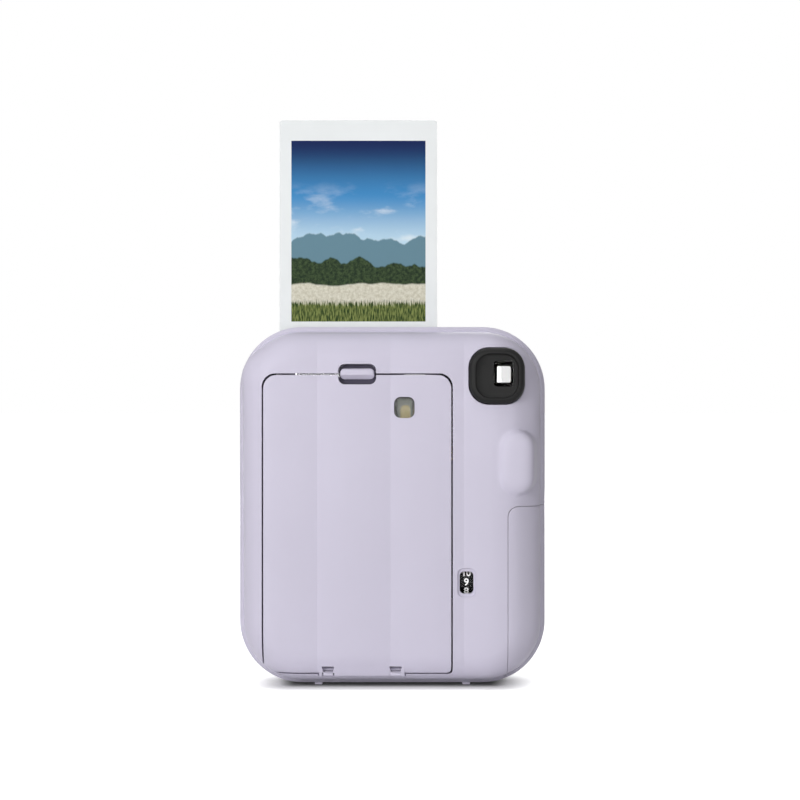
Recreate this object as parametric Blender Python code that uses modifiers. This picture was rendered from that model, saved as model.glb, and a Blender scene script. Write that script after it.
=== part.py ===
"""Instant camera standing on its feet, film door towards -Y, lens towards +Y, a print leaving the top.

Depths run forwards from the tops of the lobes on the back, heights run up from the surface it stands on.
"""

import math

import bmesh
import bpy
from mathutils import Matrix, Vector

# Body housing
BODY_WIDTH = 0.104
HEAD_ROOM = 0.0174
FOOT_HEIGHT = 0.0008
CORNER_RADIUS = 0.0212
FACE_DEPTH = 0.052
FRONT_ROUND_WIDTH = 0.015
FRONT_ROUND_DEPTH = 0.020
BACK_ROUND_WIDTH = 0.010
BACK_ROUND_DEPTH = 0.011
PARTING_DEPTH = 0.014
RIM_STEP = 0.0019
RIM_ROUND = 0.001
WALL = 0.002
LOBE_PITCH = 0.0245
LOBE_SAG = 0.0007
LOBE_SHIFT = -0.0006

# Clearances
GAP = 0.0003
SEAM = 0.0005

# Swelling at the strap corner, by its angle on the corner
BULGE_ANGLE = math.radians(161)
BULGE_SPAN = math.radians(36)
BULGE_SHARE = 0.85

# Film
FILM_X = -0.01165
FILM_DEPTH = 0.018
FILM_WIDTH = 0.054
FILM_LENGTH = 0.086
FILM_THICKNESS = 0.0005
FILM_CORNER = 0.001
PICTURE_WIDTH = 0.046
PICTURE_HEIGHT = 0.062
PRINT_OUT = 0.071
PACK_WALL = 0.00195
PACK_FRONT = 0.0006
PACK_DEPTH = 0.0128
PACK_BASE = 0.011
PACK_ROOM = 0.0036
PACK_CAP = 0.0012
LANE_GAP = 0.00035
CHAMBER_WALL = 0.0013
CHAMBER_BACK = 0.008
CHAMBER_CORNER = 0.003
CONE_END_DEPTH = 0.036
CONE_END_SIDE = 0.020

# Film door, its hinge and latch
DOOR_MARGIN = 0.00075
DOOR_HEAD = 0.0011
DOOR_FOOT = 0.0038
DOOR_DEPTH = 0.0072
DOOR_CORNER = 0.0045
DOOR_LOWER_CORNER = 0.0015
HINGE_DEPTH = 0.0039
HINGE_DROP = 0.0001
HINGE_X = -0.01015
HINGE_WIDTH = 0.0291
BARREL_RADIUS = 0.0012
PIN_RADIUS = 0.0005
NOTCH_SPREAD = 0.0226
NOTCH_WIDTH = 0.0042
NOTCH_RISE = 0.0002
NOTCH_HEIGHT = 0.0022
NOTCH_DEPTH = 0.0036
POCKET_WIDTH = 0.0126
POCKET_HEIGHT = 0.0068
POCKET_RADIUS = 0.0022
LATCH_PLATE = 0.0012
LATCH_OVERHANG = 0.0015
LATCH_TAIL = 0.0056
KNOB_HEIGHT = 0.0036
KNOB_TOP_GAP = 0.0015
KNOB_SUNK = 0.0003
KEEPER_WALL = 0.0012
WINDOW_WIDTH = 0.0068
WINDOW_HEIGHT = 0.0070
WINDOW_RADIUS = 0.0022
WINDOW_INSET = 0.01589
WINDOW_DROP = 0.0111
PANE = 0.001
PANE_SUNK = 0.0008
PRESSURE_SPREAD = 0.030
PRESSURE_WIDTH = 0.006
PRESSURE_LENGTH = 0.036
PRESSURE_STRIP = 0.0004

# Film transport
ROLLER_RADIUS = 0.00325
ROLLER_NIP = 0.00025
ROLLER_RISE = 0.0069
ROLLER_OVERHANG = 0.00035
JOURNAL_RADIUS = 0.0012
FRAME_PLATE = 0.0013
FRAME_RISE = 0.0023
GEAR_MODULE = 0.0075 / 14
GEAR_WIDTH = 0.0025
GEAR_CLEARANCE = 0.0008
ROLLER_TEETH = 14
LARGE_TEETH = 28
SMALL_TEETH = 24
PINION_TEETH = 10
LARGE_BEARING = math.radians(-63.7)
SMALL_BEARING = math.radians(-77.6)
PINION_BEARING = math.radians(-77.3)
AXLE_RADIUS = 0.0012
SHAFT_RADIUS = 0.0009
MOTOR_RADIUS = 0.0075
MOTOR_LENGTH = 0.014

# Film counter
COUNTER_SHIFT = 0.0011
COUNTER_Z = 0.0362
COUNTER_WIDTH = 0.0046
COUNTER_HEIGHT = 0.0074
COUNTER_RADIUS = 0.0014
SURROUND_WIDTH = 0.0060
SURROUND_HEIGHT = 0.0095
SURROUND_SUNK = 0.0005
DRUM_RADIUS = 0.0060
DRUM_SIDE_GAP = 0.0007
DRUM_CLEARANCE = 0.0008

# Viewfinder
EYEPIECE_INSET_X = 0.0171
EYEPIECE_DROP = 0.0169
EYEPIECE_WIDTH = 0.0185
EYEPIECE_HEIGHT = 0.01865
EYEPIECE_RADIUS = 0.0066
EYEPIECE_PROUD = 0.0015
EYEPIECE_BACK = 0.0038
PANEL_WIDTH = 0.0143
PANEL_HEIGHT = 0.0149
PANEL_RADIUS = 0.0050
PANEL_DEPTH = 0.0010
SIGHT_SHIFT_X = 0.00235
SIGHT_SHIFT_Z = 0.0008
SIGHT_WIDTH = 0.0067
SIGHT_HEIGHT = 0.0086
SIGHT_RADIUS = 0.0012
SLEEVE_WALL = 0.0009
TUBE_START = 0.0061
TUBE_END = 0.038
TUBE_WIDTH = 0.0100
TUBE_HEIGHT = 0.0092
TUBE_RADIUS = 0.0034
TUBE_WALL = 0.0008
TUBE_SHIFT_X = 0.0037
TUBE_SHIFT_Z = 0.0009
MASK_WIDTH = 0.0050
MASK_HEIGHT = 0.0058
MASK_SHIFT_X = 0.0046
MASK_SHIFT_Z = 0.0011
OBJECTIVE = 0.0014
BEZEL_WIDTH = 0.0098
BEZEL_HEIGHT = 0.0102
BEZEL_RADIUS = 0.0025
BEZEL_SUNK = 0.0012
BEZEL_WALL = 0.0015

# Flash and light sensor
FLASH_X = -0.022
FLASH_DROP = 0.0185
FLASH_WIDTH = 0.026
FLASH_HEIGHT = 0.013
FLASH_RADIUS = 0.003
FLASH_PLATE = 0.004
REFLECTOR_LENGTH = 0.0086
REFLECTOR_MARGIN = 0.001
REFLECTOR_RADIUS = 0.0046
FLASH_TUBE_RADIUS = 0.0013
CAPACITOR_RADIUS = 0.0055
CAPACITOR_LENGTH = 0.032
CAPACITOR_DEPTH = 0.030
SENSOR_X = 0.008
SENSOR_WIDTH = 0.011
SENSOR_HEIGHT = 0.005
SENSOR_SUNK = 0.0004
SENSOR_LENGTH = 0.0028

# Lens
LENS_Z = 0.054
LENS_CLOSED_PROUD = 0.0146
LENS_TRAVEL = 0.006
COLLAR_RADIUS = 0.032
COLLAR_ROOT = 0.0065
COLLAR_PROUD = 0.0026
RING_RADIUS = 0.030
RING_PROUD = 0.012
RING_SKIRT = 0.0260
RING_ROOT = 0.0045
BARREL_OUTER = 0.0217
BARREL_INNER = 0.0190
BARREL_LENGTH = 0.027
BARREL_PLATE = 0.0051
BARREL_WEB = 0.0070
BLADE_ROOM = 0.0014
LENS_MOUTH = 0.0055
LENS_FLARE = 0.0130
GLASS_RADIUS = 0.0074
FRONT_GLASS = 0.0027
REAR_GLASS = 0.0026
COVER_BLADE = 0.0008
COVER_RADIUS = 0.0064
COVER_OPEN = 0.0066
MIRROR_RADIUS = 0.0029
MIRROR_OFFSET = 0.0172
MIRROR_PLATE = 0.0005
SHUTTER_DISC = 0.0145
SHUTTER_PLATE = 0.0014
SHUTTER_MOUTH = 0.004
SHUTTER_BLADE = 0.0005
SHUTTER_ARM = 0.0113
SHUTTER_CAP = 0.0048
SHUTTER_EYE = 0.0020
SHUTTER_PIN = 0.0008

# Shutter button
BUTTON_INSET = 0.0148
BUTTON_Z = 0.076
BUTTON_RADIUS = 0.0062
BUTTON_PROUD = 0.0013
BUTTON_CAP = 0.0032
BUTTON_STEM = 0.0024
BUTTON_TRAVEL = 0.0018
CUP_WALL = 0.0013
CUP_ROOT = 0.0070
CUP_PROUD = 0.0004
CUP_FLOOR = 0.0012

# Battery bay
COVER_WRAP = 0.0134
COVER_TOP = 0.0615
COVER_CORNER = 0.0034
COVER_DEPTH = 0.034
TAB_REACH = 0.0026
TAB_HEIGHT = 0.008
TAB_PLATE = 0.0014
CELL_RADIUS = 0.0071
CELL_LENGTH = 0.0490
CELL_NUB = 0.0010
CELL_NUB_RADIUS = 0.0027
CELL_INSET = 0.0153
CELL_BASE = 0.0133
CELL_DEPTHS = (0.0131, 0.0281)
TRAY_WALL = 0.0010
TRAY_MARGIN = 0.0004
CONTACT = 0.0004
BATTERY_SPRING_RADIUS = 0.0036
BATTERY_SPRING_WIRE = 0.00025
BATTERY_SPRING_TURNS = 2.5
BATTERY_SPRING_ROOM = 0.0032

# Circuit board
BOARD_PLATE = 0.0012
BOARD_BACK = 0.018
BOARD_FRONT = 0.043
BOARD_BASE = 0.014
BOARD_TOP = 0.060

# Thumb rest, feet and strap bar
THUMB_INSET = 0.0106
THUMB_Z = 0.0762
THUMB_WIDTH = 0.0122
THUMB_HEIGHT = 0.0216
THUMB_DEPTH = 0.0060
THUMB_PROUD = 0.0014
FOOT_X = 0.0252
FOOT_BACK = 0.0175
FOOT_SETBACK = 0.0155
FOOT_WIDTH = 0.0026
FOOT_LENGTH = 0.0044
FOOT_ROOT = 0.0022
STRAP_DROP = 0.0235
STRAP_DEPTH = 0.022
STRAP_OPENING = 0.009
STRAP_ROOM = 0.006
STRAP_SUNK = 0.0055
STRAP_BAR_RADIUS = 0.0008
STRAP_BAR_SUNK = 0.0014
STRAP_WALL = 0.0015

# Small springs
SPRING_WIRE = 0.00018
LATCH_SPRING_RADIUS = 0.0010
LATCH_SPRING_TURNS = 4
BUTTON_SPRING_RADIUS = 0.0043
BUTTON_SPRING_TURNS = 3

# Facets
CORNER_STEPS = 6
LOBE_STEPS = 4
BACK_STEPS = 4
FRONT_STEPS = 4
CAVITY_STEPS = 3
ROUND_SIDES = 24
SMALL_SIDES = 12
LENS_SIDES = 36
FILLET_STEPS = 2

# Sizes that follow from the ones above
LENS_REACH = FACE_DEPTH + LENS_CLOSED_PROUD + LENS_TRAVEL
BACK_Y = -(LENS_REACH - EYEPIECE_PROUD) / 2
BODY_BASE = FOOT_HEIGHT
BODY_RIGHT = BODY_WIDTH / 2
INNER_BACK = LOBE_SAG + WALL
INNER_FACE = FACE_DEPTH - WALL
BACK_SHELL_END = PARTING_DEPTH - SEAM
FRONT_SHELL_START = PARTING_DEPTH - SEAM + GAP
PACK_FACE = FILM_DEPTH + FILM_THICKNESS / 2 + LANE_GAP + PACK_FRONT
PACK_REAR = PACK_FACE - PACK_DEPTH
PACK_HALF = FILM_WIDTH / 2 + GAP + PACK_WALL
PACK_TOP = PACK_BASE + FILM_LENGTH + 2 * PACK_CAP + PACK_ROOM
CHAMBER_HALF = PACK_HALF + GAP + CHAMBER_WALL
CHAMBER_RIGHT = FILM_X + CHAMBER_HALF
CHAMBER_BASE = PACK_BASE - GAP - CHAMBER_WALL
CHAMBER_TOP = PACK_TOP + GAP + CHAMBER_WALL
GATE_DEPTH = PACK_FACE + GAP
CHAMBER_FACE = GATE_DEPTH + CHAMBER_WALL
BODY_TOP = CHAMBER_TOP + HEAD_ROOM
DOOR_LEFT = FILM_X - CHAMBER_HALF - DOOR_MARGIN
DOOR_RIGHT = FILM_X + CHAMBER_HALF + DOOR_MARGIN
DOOR_TOP = CHAMBER_TOP + DOOR_HEAD
DOOR_BASE = CHAMBER_BASE - DOOR_FOOT
HINGE_HEIGHT = DOOR_BASE - HINGE_DROP
NOTCH_BASE = DOOR_BASE + NOTCH_RISE
WINDOW_X = DOOR_RIGHT - WINDOW_INSET
WINDOW_Z = DOOR_TOP - WINDOW_DROP
LATCH_DEPTH = INNER_BACK + GAP
PRINT_TOP = BODY_TOP + PRINT_OUT
PRINT_BASE = PRINT_TOP - FILM_LENGTH
ROLLER_OFFSET = FILM_THICKNESS / 2 + ROLLER_NIP + ROLLER_RADIUS
ROLLER_LENGTH = FILM_WIDTH + 2 * ROLLER_OVERHANG
ROLLER_Z = CHAMBER_TOP + ROLLER_RISE
FRAME_TOP = ROLLER_Z + FRAME_RISE
GEAR_X = CHAMBER_RIGHT + GEAR_CLEARANCE
EYEPIECE_X = BODY_RIGHT - EYEPIECE_INSET_X
EYEPIECE_Z = BODY_TOP - EYEPIECE_DROP
SIGHT_X = EYEPIECE_X + SIGHT_SHIFT_X
SIGHT_Z = EYEPIECE_Z + SIGHT_SHIFT_Z
TUBE_X = EYEPIECE_X + TUBE_SHIFT_X
TUBE_Z = EYEPIECE_Z + TUBE_SHIFT_Z
MASK_X = EYEPIECE_X + MASK_SHIFT_X
MASK_Z = EYEPIECE_Z + MASK_SHIFT_Z
BEZEL_FRONT = FACE_DEPTH - BEZEL_SUNK
FLASH_Z = BODY_TOP - FLASH_DROP
FLASH_BACK = FACE_DEPTH - FLASH_PLATE
COLLAR_BACK = FACE_DEPTH - COLLAR_ROOT
COLLAR_FRONT = FACE_DEPTH + COLLAR_PROUD
RING_BACK = FACE_DEPTH - RING_ROOT
RING_FRONT = FACE_DEPTH + RING_PROUD
BUTTON_X = BODY_RIGHT - BUTTON_INSET
CUP_BACK = FACE_DEPTH - CUP_ROOT
COVER_LEFT = BODY_RIGHT - COVER_WRAP
CELL_X = BODY_RIGHT - CELL_INSET
CELL_TOP = CELL_BASE + CELL_LENGTH + CELL_NUB
TRAY_LEFT = CELL_X - CELL_RADIUS - TRAY_MARGIN - TRAY_WALL
TRAY_BACK = CELL_DEPTHS[0] - CELL_RADIUS - TRAY_MARGIN
TRAY_FRONT = CELL_DEPTHS[1] + CELL_RADIUS + TRAY_MARGIN + TRAY_WALL
TRAY_CEILING = CELL_TOP + GAP + CONTACT + GAP
TRAY_FLOOR = CELL_BASE - BATTERY_SPRING_ROOM - GAP
DRUM_LEFT = CHAMBER_RIGHT + DRUM_SIDE_GAP
DRUM_RIGHT = TRAY_LEFT - DRUM_SIDE_GAP
DRUM_DEPTH = INNER_BACK + DRUM_CLEARANCE + DRUM_RADIUS
COUNTER_X = (DRUM_LEFT + DRUM_RIGHT) / 2 + COUNTER_SHIFT
FOOT_DEPTHS = (FOOT_BACK, FACE_DEPTH - FOOT_SETBACK)
STRAP_X = -BODY_RIGHT + STRAP_BAR_SUNK
STRAP_Z = BODY_TOP - STRAP_DROP

FINISHES = {
    "lilac": ((0.62, 0.58, 0.72), 0.45, 0.0),
    "charcoal": ((0.03, 0.028, 0.032), 0.35, 0.0),
    "black": ((0.012, 0.012, 0.013), 0.55, 0.0),
    "clear": ((0.75, 0.78, 0.80), 0.08, 0.0),
    "glass": ((0.35, 0.40, 0.48), 0.04, 0.0),
    "steel": ((0.62, 0.62, 0.63), 0.28, 1.0),
    "brass": ((0.70, 0.55, 0.28), 0.32, 1.0),
    "nylon": ((0.82, 0.81, 0.77), 0.50, 0.0),
    "paper": ((0.80, 0.82, 0.82), 0.45, 0.0),
    "film": ((0.10, 0.10, 0.11), 0.40, 0.0),
    "cell": ((0.12, 0.20, 0.16), 0.35, 0.0),
    "board": ((0.03, 0.17, 0.08), 0.45, 0.0),
    "mirror": ((0.85, 0.86, 0.87), 0.05, 1.0),
}


def clear_scene():
    """Empty the file and make the collections for parts and cutters."""
    for old in list(bpy.data.objects):
        bpy.data.objects.remove(old)
    collections = []
    for name in ("instant_camera", "cutters"):
        collection = bpy.data.collections.new(name)
        bpy.context.scene.collection.children.link(collection)
        collections.append(collection)
    return collections


PARTS, CUTTERS = clear_scene()


def finish_material(name):
    """Principled material of a named finish."""
    material = bpy.data.materials.get(name)
    if material:
        return material
    colour, roughness, metallic = FINISHES[name]
    material = bpy.data.materials.new(name)
    material.use_nodes = True
    shader = material.node_tree.nodes["Principled BSDF"]
    shader.inputs["Base Color"].default_value = (*colour, 1.0)
    shader.inputs["Roughness"].default_value = roughness
    shader.inputs["Metallic"].default_value = metallic
    return material


def shape_object(name, mesh):
    """Object for a shape, kept as a cutter until it is published as a part."""
    shape = bpy.data.objects.new(name, mesh)
    CUTTERS.objects.link(shape)
    shape.hide_render = True
    shape.display_type = "WIRE"
    return shape


def mesh_shape(name, bm):
    """Object from a bmesh, with its faces turned outwards."""
    bmesh.ops.recalc_face_normals(bm, faces=bm.faces)
    mesh = bpy.data.meshes.new(name)
    bm.to_mesh(mesh)
    bm.free()
    return shape_object(name, mesh)


def boolean(target, tool, operation="DIFFERENCE"):
    """Cut, join or trim a shape with another."""
    modifier = target.modifiers.new(tool.name, "BOOLEAN")
    modifier.operation = operation
    modifier.solver = "EXACT"
    modifier.object = tool


def publish(shape, name, finish, origin=None, carrier=None, smooth=True):
    """Turn a shape into a named part, with its origin on its joint's axis if it moves."""
    shape.name = name
    CUTTERS.objects.unlink(shape)
    PARTS.objects.link(shape)
    shape.hide_render = False
    shape.display_type = "TEXTURED"
    shape.data.materials.append(finish_material(finish))
    if origin is not None:
        offset = Vector(at(*origin)) - shape.location
        shape.data.transform(Matrix.Translation(-offset))
        shape.location += offset
    if smooth and isinstance(shape.data, bpy.types.Mesh) and shape.data.polygons:
        shape.data.shade_smooth()
        shape.data.set_sharp_from_angle(angle=math.radians(32))
    if carrier is not None:
        shape.parent = carrier
        shape.matrix_parent_inverse = Matrix.Translation(carrier.location).inverted()
    return shape


def at(x, depth, z):
    """Point in the model's frame from a depth behind the lobe tops."""
    return (x, BACK_Y + depth, z)


def block(name, xs, depths, zs, radius=0.0, lower_radius=None, axis=1, edge=0.0):
    """Box with its edges along one axis rounded, and its rear rim if edge is given."""
    low = Vector(at(xs[0], depths[0], zs[0]))
    high = Vector(at(xs[1], depths[1], zs[1]))
    size = high - low
    bm = bmesh.new()
    bmesh.ops.create_cube(bm, size=1.0, matrix=Matrix.Translation((low + high) / 2) @ Matrix.Diagonal((*size, 1)))
    radii = {True: radius, False: radius if lower_radius is None else lower_radius}
    middle = (low.z + high.z) / 2
    for upper, corner in radii.items():
        if corner <= 0:
            continue
        edges = []
        for line in bm.edges:
            ends = line.verts[0].co - line.verts[1].co
            centre = (line.verts[0].co + line.verts[1].co) / 2
            along = abs(ends[axis]) > 0.9 * size[axis] and abs(ends.length - size[axis]) < 1e-7
            if along and (axis == 2 or (centre.z > middle) == upper):
                edges.append(line)
        bmesh.ops.bevel(bm, geom=edges, offset=corner, segments=FILLET_STEPS + 1, profile=0.5, affect="EDGES")
    if edge > 0:
        rim = [line for line in bm.edges if all(abs(v.co.y - low.y) < 1e-7 for v in line.verts)]
        bmesh.ops.bevel(bm, geom=rim, offset=edge, segments=FILLET_STEPS, profile=0.5, affect="EDGES")
    return mesh_shape(name, bm)


def centred(name, x, z, width, height, depths, radius=0.0, edge=0.0):
    """Rounded rectangle about a point, run through a range of depths."""
    xs = (x - width / 2, x + width / 2)
    return block(name, xs, depths, (z - height / 2, z + height / 2), radius, edge=edge)


def rod(name, axis, start, end, cross, radius, sides=SMALL_SIDES):
    """Cylinder along X, depth or Z; cross holds its two other coordinates in order."""
    middle = (start + end) / 2
    spots = {"x": (middle, *cross), "depth": (cross[0], middle, cross[1]), "z": (*cross, middle)}
    turns = {
        "x": Matrix.Rotation(math.pi / 2, 4, "Y"),
        "depth": Matrix.Rotation(-math.pi / 2, 4, "X"),
        "z": Matrix.Identity(4),
    }
    bm = bmesh.new()
    place = Matrix.Translation(at(*spots[axis])) @ turns[axis]
    bmesh.ops.create_cone(bm, cap_ends=True, segments=sides, radius1=radius, radius2=radius,
                          depth=end - start, matrix=place)
    return mesh_shape(name, bm)


def turned(name, profile, axis, centre, sides=ROUND_SIDES):
    """Screw a closed (radius, distance) profile round a line along X or depth.

    The profile starts on the axis and ends on it, or is a loop clear of the axis, and runs towards
    greater distances on its outer side.
    """
    on_axis = min(radius for radius, _ in profile) < 1e-9
    count = len(profile)
    mesh = bpy.data.meshes.new(name)
    if axis == "x":
        points = [(distance, radius, 0) for radius, distance in profile]
    else:
        points = [(radius, distance, 0) for radius, distance in profile]
    last = count - 1 if on_axis else count
    mesh.from_pydata(points, [(i, (i + 1) % count) for i in range(last)], [])
    shape = shape_object(name, mesh)
    shape.location = at(0, centre[0], centre[1]) if axis == "x" else at(centre[0], 0, centre[1])
    screw = shape.modifiers.new("turn", "SCREW")
    screw.axis = "X" if axis == "x" else "Y"
    screw.steps = sides
    screw.render_steps = sides
    screw.use_merge_vertices = True
    screw.merge_threshold = 0.00001
    screw.use_normal_flip = True
    screw.use_smooth_shade = False
    return shape


def flat(name, loops, axis, start, end):
    """Plate from closed outlines, the first outside, across X as (depth, z) or across depth as (x, z)."""
    curve = bpy.data.curves.new(name, "CURVE")
    curve.dimensions = "2D"
    curve.fill_mode = "BOTH"
    curve.extrude = (end - start) / 2
    for loop in loops:
        spline = curve.splines.new("POLY")
        spline.points.add(len(loop) - 1)
        for point, (u, v) in zip(spline.points, loop):
            point.co = (u, v, 0, 1)
        spline.use_cyclic_u = True
    guide = shape_object(name, curve)
    middle = (start + end) / 2
    if axis == "x":
        place = Matrix(((0, 0, 1, middle), (1, 0, 0, BACK_Y), (0, 1, 0, 0), (0, 0, 0, 1)))
    else:
        place = Matrix(((1, 0, 0, 0), (0, 0, -1, BACK_Y + middle), (0, 1, 0, 0), (0, 0, 0, 1)))
    graph = bpy.context.evaluated_depsgraph_get()
    mesh = bpy.data.meshes.new_from_object(guide.evaluated_get(graph))
    bpy.data.objects.remove(guide)
    bm = bmesh.new()
    bm.from_mesh(mesh)
    bpy.data.meshes.remove(mesh)
    bmesh.ops.remove_doubles(bm, verts=bm.verts, dist=1e-7)
    bmesh.ops.transform(bm, matrix=place, verts=bm.verts)
    return mesh_shape(name, bm)


def arc(centre, radius, start, end, steps):
    """Points along an arc in a plane, both ends included."""
    points = []
    for step in range(steps + 1):
        angle = start + (end - start) * step / steps
        points.append((centre[0] + radius * math.cos(angle), centre[1] + radius * math.sin(angle)))
    return points


def circle(centre, radius, sides=SMALL_SIDES):
    """Closed ring of points."""
    return arc(centre, radius, 0, 2 * math.pi, sides)[:-1]


def coil(name, axis, start, end, cross, radius, wire, turns):
    """Open compression spring as one tube along depth or Z."""
    per_turn = 8
    count = round(turns * per_turn)
    curve = bpy.data.curves.new(name, "CURVE")
    curve.dimensions = "3D"
    curve.bevel_depth = wire
    curve.bevel_resolution = 1
    curve.use_fill_caps = True
    spline = curve.splines.new("POLY")
    spline.points.add(count)
    for step, point in enumerate(spline.points):
        angle = 2 * math.pi * step / per_turn
        along = start + wire + (end - start - 2 * wire) * step / count
        across = (radius * math.cos(angle), radius * math.sin(angle))
        if axis == "z":
            spot = at(cross[0] + across[0], cross[1] + across[1], along)
        else:
            spot = at(cross[0] + across[0], along, cross[1] + across[1])
        point.co = (*spot, 1)
    pitch = (end - start - 2 * wire) / turns
    print(f"{name}: least gap between turns {(pitch - 2 * wire) * 1000:.2f} mm")
    return shape_object(name, curve)


def gear_outline(centre, teeth, phase):
    """Straight-sided teeth round a pitch circle, one tooth centred on the phase angle."""
    pitch = GEAR_MODULE * teeth / 2
    root = pitch - 1.15 * GEAR_MODULE
    tip = pitch + 0.8 * GEAR_MODULE
    step = 2 * math.pi / teeth
    points = []
    for tooth in range(teeth):
        middle = phase + tooth * step
        for radius, share in ((root, -0.30), (tip, -0.10), (tip, 0.10), (root, 0.30)):
            angle = middle + share * step
            points.append((centre[0] + radius * math.cos(angle), centre[1] + radius * math.sin(angle)))
    return points


def mesh_phase(phase, teeth, bearing, other_teeth):
    """Phase of a gear that meshes with another one lying towards it at a bearing."""
    return bearing + math.pi - (math.pi - teeth * (bearing - phase)) / other_teeth


def gear_spot(centre, teeth, other_teeth, bearing):
    """Centre of a gear at its meshing distance from another."""
    distance = GEAR_MODULE * (teeth + other_teeth) / 2
    return (centre[0] + distance * math.cos(bearing), centre[1] + distance * math.sin(bearing))


def lobe_depth(x):
    """Depth of the back below its lobe tops."""
    place = (x - LOBE_SHIFT) / LOBE_PITCH
    across = 2 * (place - math.floor(place)) - 1
    return LOBE_SAG * across * across


def outline_stations():
    """Upper half of the housing's outline, left to right: point, inward normal, share of the bulge."""
    run = BODY_RIGHT - CORNER_RADIUS
    corner_z = BODY_TOP - CORNER_RADIUS
    side_z = corner_z - CORNER_RADIUS / 2
    stations = [((-BODY_RIGHT, side_z), (1.0, 0.0), 0.0)]
    quarter = math.pi / 2
    for step in range(CORNER_STEPS + 1):
        angle = math.pi - quarter * step / CORNER_STEPS
        share = max(-1.0, min(1.0, (angle - BULGE_ANGLE) / BULGE_SPAN))
        stations.append(corner_station(-run, corner_z, angle, 0.5 + 0.5 * math.cos(math.pi * share)))
    first = math.ceil((-run - LOBE_SHIFT) / LOBE_PITCH * LOBE_STEPS + 0.5)
    last = math.floor((run - LOBE_SHIFT) / LOBE_PITCH * LOBE_STEPS - 0.5)
    for step in range(first, last + 1):
        stations.append(((LOBE_SHIFT + LOBE_PITCH * step / LOBE_STEPS, BODY_TOP), (0.0, -1.0), 0.0))
    for step in range(CORNER_STEPS + 1):
        stations.append(corner_station(run, corner_z, quarter * (1 - step / CORNER_STEPS), 0.0))
    stations.append(((BODY_RIGHT, side_z), (-1.0, 0.0), 0.0))
    return stations


def corner_station(x, z, angle, bulge):
    """Station on a round corner of the outline."""
    across, up = math.cos(angle), math.sin(angle)
    return ((x + CORNER_RADIUS * across, z + CORNER_RADIUS * up), (-across, -up), bulge)


def loft(name, sections):
    """Closed solid through rings given as inset, depth, lobe share and bulge, with lobed strips as ends."""
    upper = outline_stations()
    twice_middle = BODY_BASE + BODY_TOP
    lower = [((x, twice_middle - z), (nx, -nz), 0.0) for (x, z), (nx, nz), _ in reversed(upper)]
    bm = bmesh.new()
    rings = []
    for inset, depth, lobe, bulge in sections:
        ring = []
        for (x, z), (nx, nz), share in upper + lower:
            inwards = inset - bulge * share
            px = x + nx * inwards
            ring.append(bm.verts.new(at(px, depth + lobe * lobe_depth(px), z + nz * inwards)))
        rings.append(ring)
    count = len(rings[0])
    for near, far in zip(rings, rings[1:]):
        for i in range(count):
            j = (i + 1) % count
            bm.faces.new((near[i], near[j], far[j], far[i]))
    bmesh.ops.triangulate(bm, faces=bm.faces)
    for ring in (rings[0], rings[-1]):
        bm.faces.new(ring[:3] + ring[-3:])
        middle = len(upper)
        bm.faces.new(ring[middle - 3:middle + 3])
        for i in range(2, middle - 3):
            bm.faces.new((ring[i], ring[i + 1], ring[count - 2 - i], ring[count - 1 - i]))
    return mesh_shape(name, bm)


def quarter_turns(steps):
    """Sine and cosine over a quarter turn, from the face to the side."""
    angles = [math.pi / 2 * step / steps for step in range(steps + 1)]
    return [(math.sin(angle), math.cos(angle)) for angle in angles]


def housing(name):
    """Solid outer form of the whole housing."""
    swell = BULGE_SHARE * RIM_STEP
    sections = []
    for side, face in quarter_turns(BACK_STEPS):
        inset = RIM_STEP + BACK_ROUND_WIDTH * (1 - side)
        sections.append((inset, BACK_ROUND_DEPTH * (1 - face), face * face, swell * side))
    sections.append((RIM_STEP, PARTING_DEPTH, 0, swell))
    sections.append((RIM_ROUND, PARTING_DEPTH, 0, swell * RIM_ROUND / RIM_STEP))
    sections.append((0, PARTING_DEPTH + RIM_ROUND, 0, 0))
    for side, face in reversed(quarter_turns(FRONT_STEPS)):
        sections.append((FRONT_ROUND_WIDTH * (1 - side), FACE_DEPTH - FRONT_ROUND_DEPTH * (1 - face), 0, 0))
    return loft(name, sections)


def cavity(name):
    """Solid inner form of the housing, one wall inside the outer one."""
    sections = []
    for side, face in quarter_turns(CAVITY_STEPS):
        inset = RIM_STEP + WALL + (BACK_ROUND_WIDTH - WALL) * (1 - side)
        sections.append((inset, INNER_BACK + (BACK_ROUND_DEPTH - WALL) * (1 - face), 0, 0))
    sections.append((RIM_STEP + WALL, PARTING_DEPTH + RIM_STEP, 0, 0))
    sections.append((WALL, PARTING_DEPTH + 2 * RIM_STEP, 0, 0))
    for side, face in reversed(quarter_turns(CAVITY_STEPS)):
        inset = WALL + (FRONT_ROUND_WIDTH - WALL) * (1 - side)
        sections.append((inset, INNER_FACE - (FRONT_ROUND_DEPTH - WALL) * (1 - face), 0, 0))
    return loft(name, sections)


FAR = 2 * BODY_WIDTH


def door_block(name, grow):
    """Room of the film door in the back."""
    xs = (DOOR_LEFT - grow, DOOR_RIGHT + grow)
    zs = (DOOR_BASE - grow, DOOR_TOP + grow)
    return block(name, xs, (-FAR, DOOR_DEPTH + grow), zs, DOOR_CORNER, DOOR_LOWER_CORNER)


def battery_block(name, grow):
    """Room of the battery cover at the housing's lower right."""
    return block(name, (COVER_LEFT - grow, FAR), (-FAR, COVER_DEPTH + grow), (-FAR, COVER_TOP + grow), COVER_CORNER)


def lug_ranges(grow):
    """Runs along X of the two hinge lugs, which stand in the notches of the door."""
    half = NOTCH_WIDTH / 2 - SEAM + grow
    middles = (HINGE_X - NOTCH_SPREAD / 2, HINGE_X + NOTCH_SPREAD / 2)
    return [(middle - half, middle + half) for middle in middles]


def pocket_zs():
    """Foot and top of the latch pocket, which straddles the door's top edge."""
    return (DOOR_TOP - POCKET_HEIGHT / 2, DOOR_TOP + POCKET_HEIGHT / 2)


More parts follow.
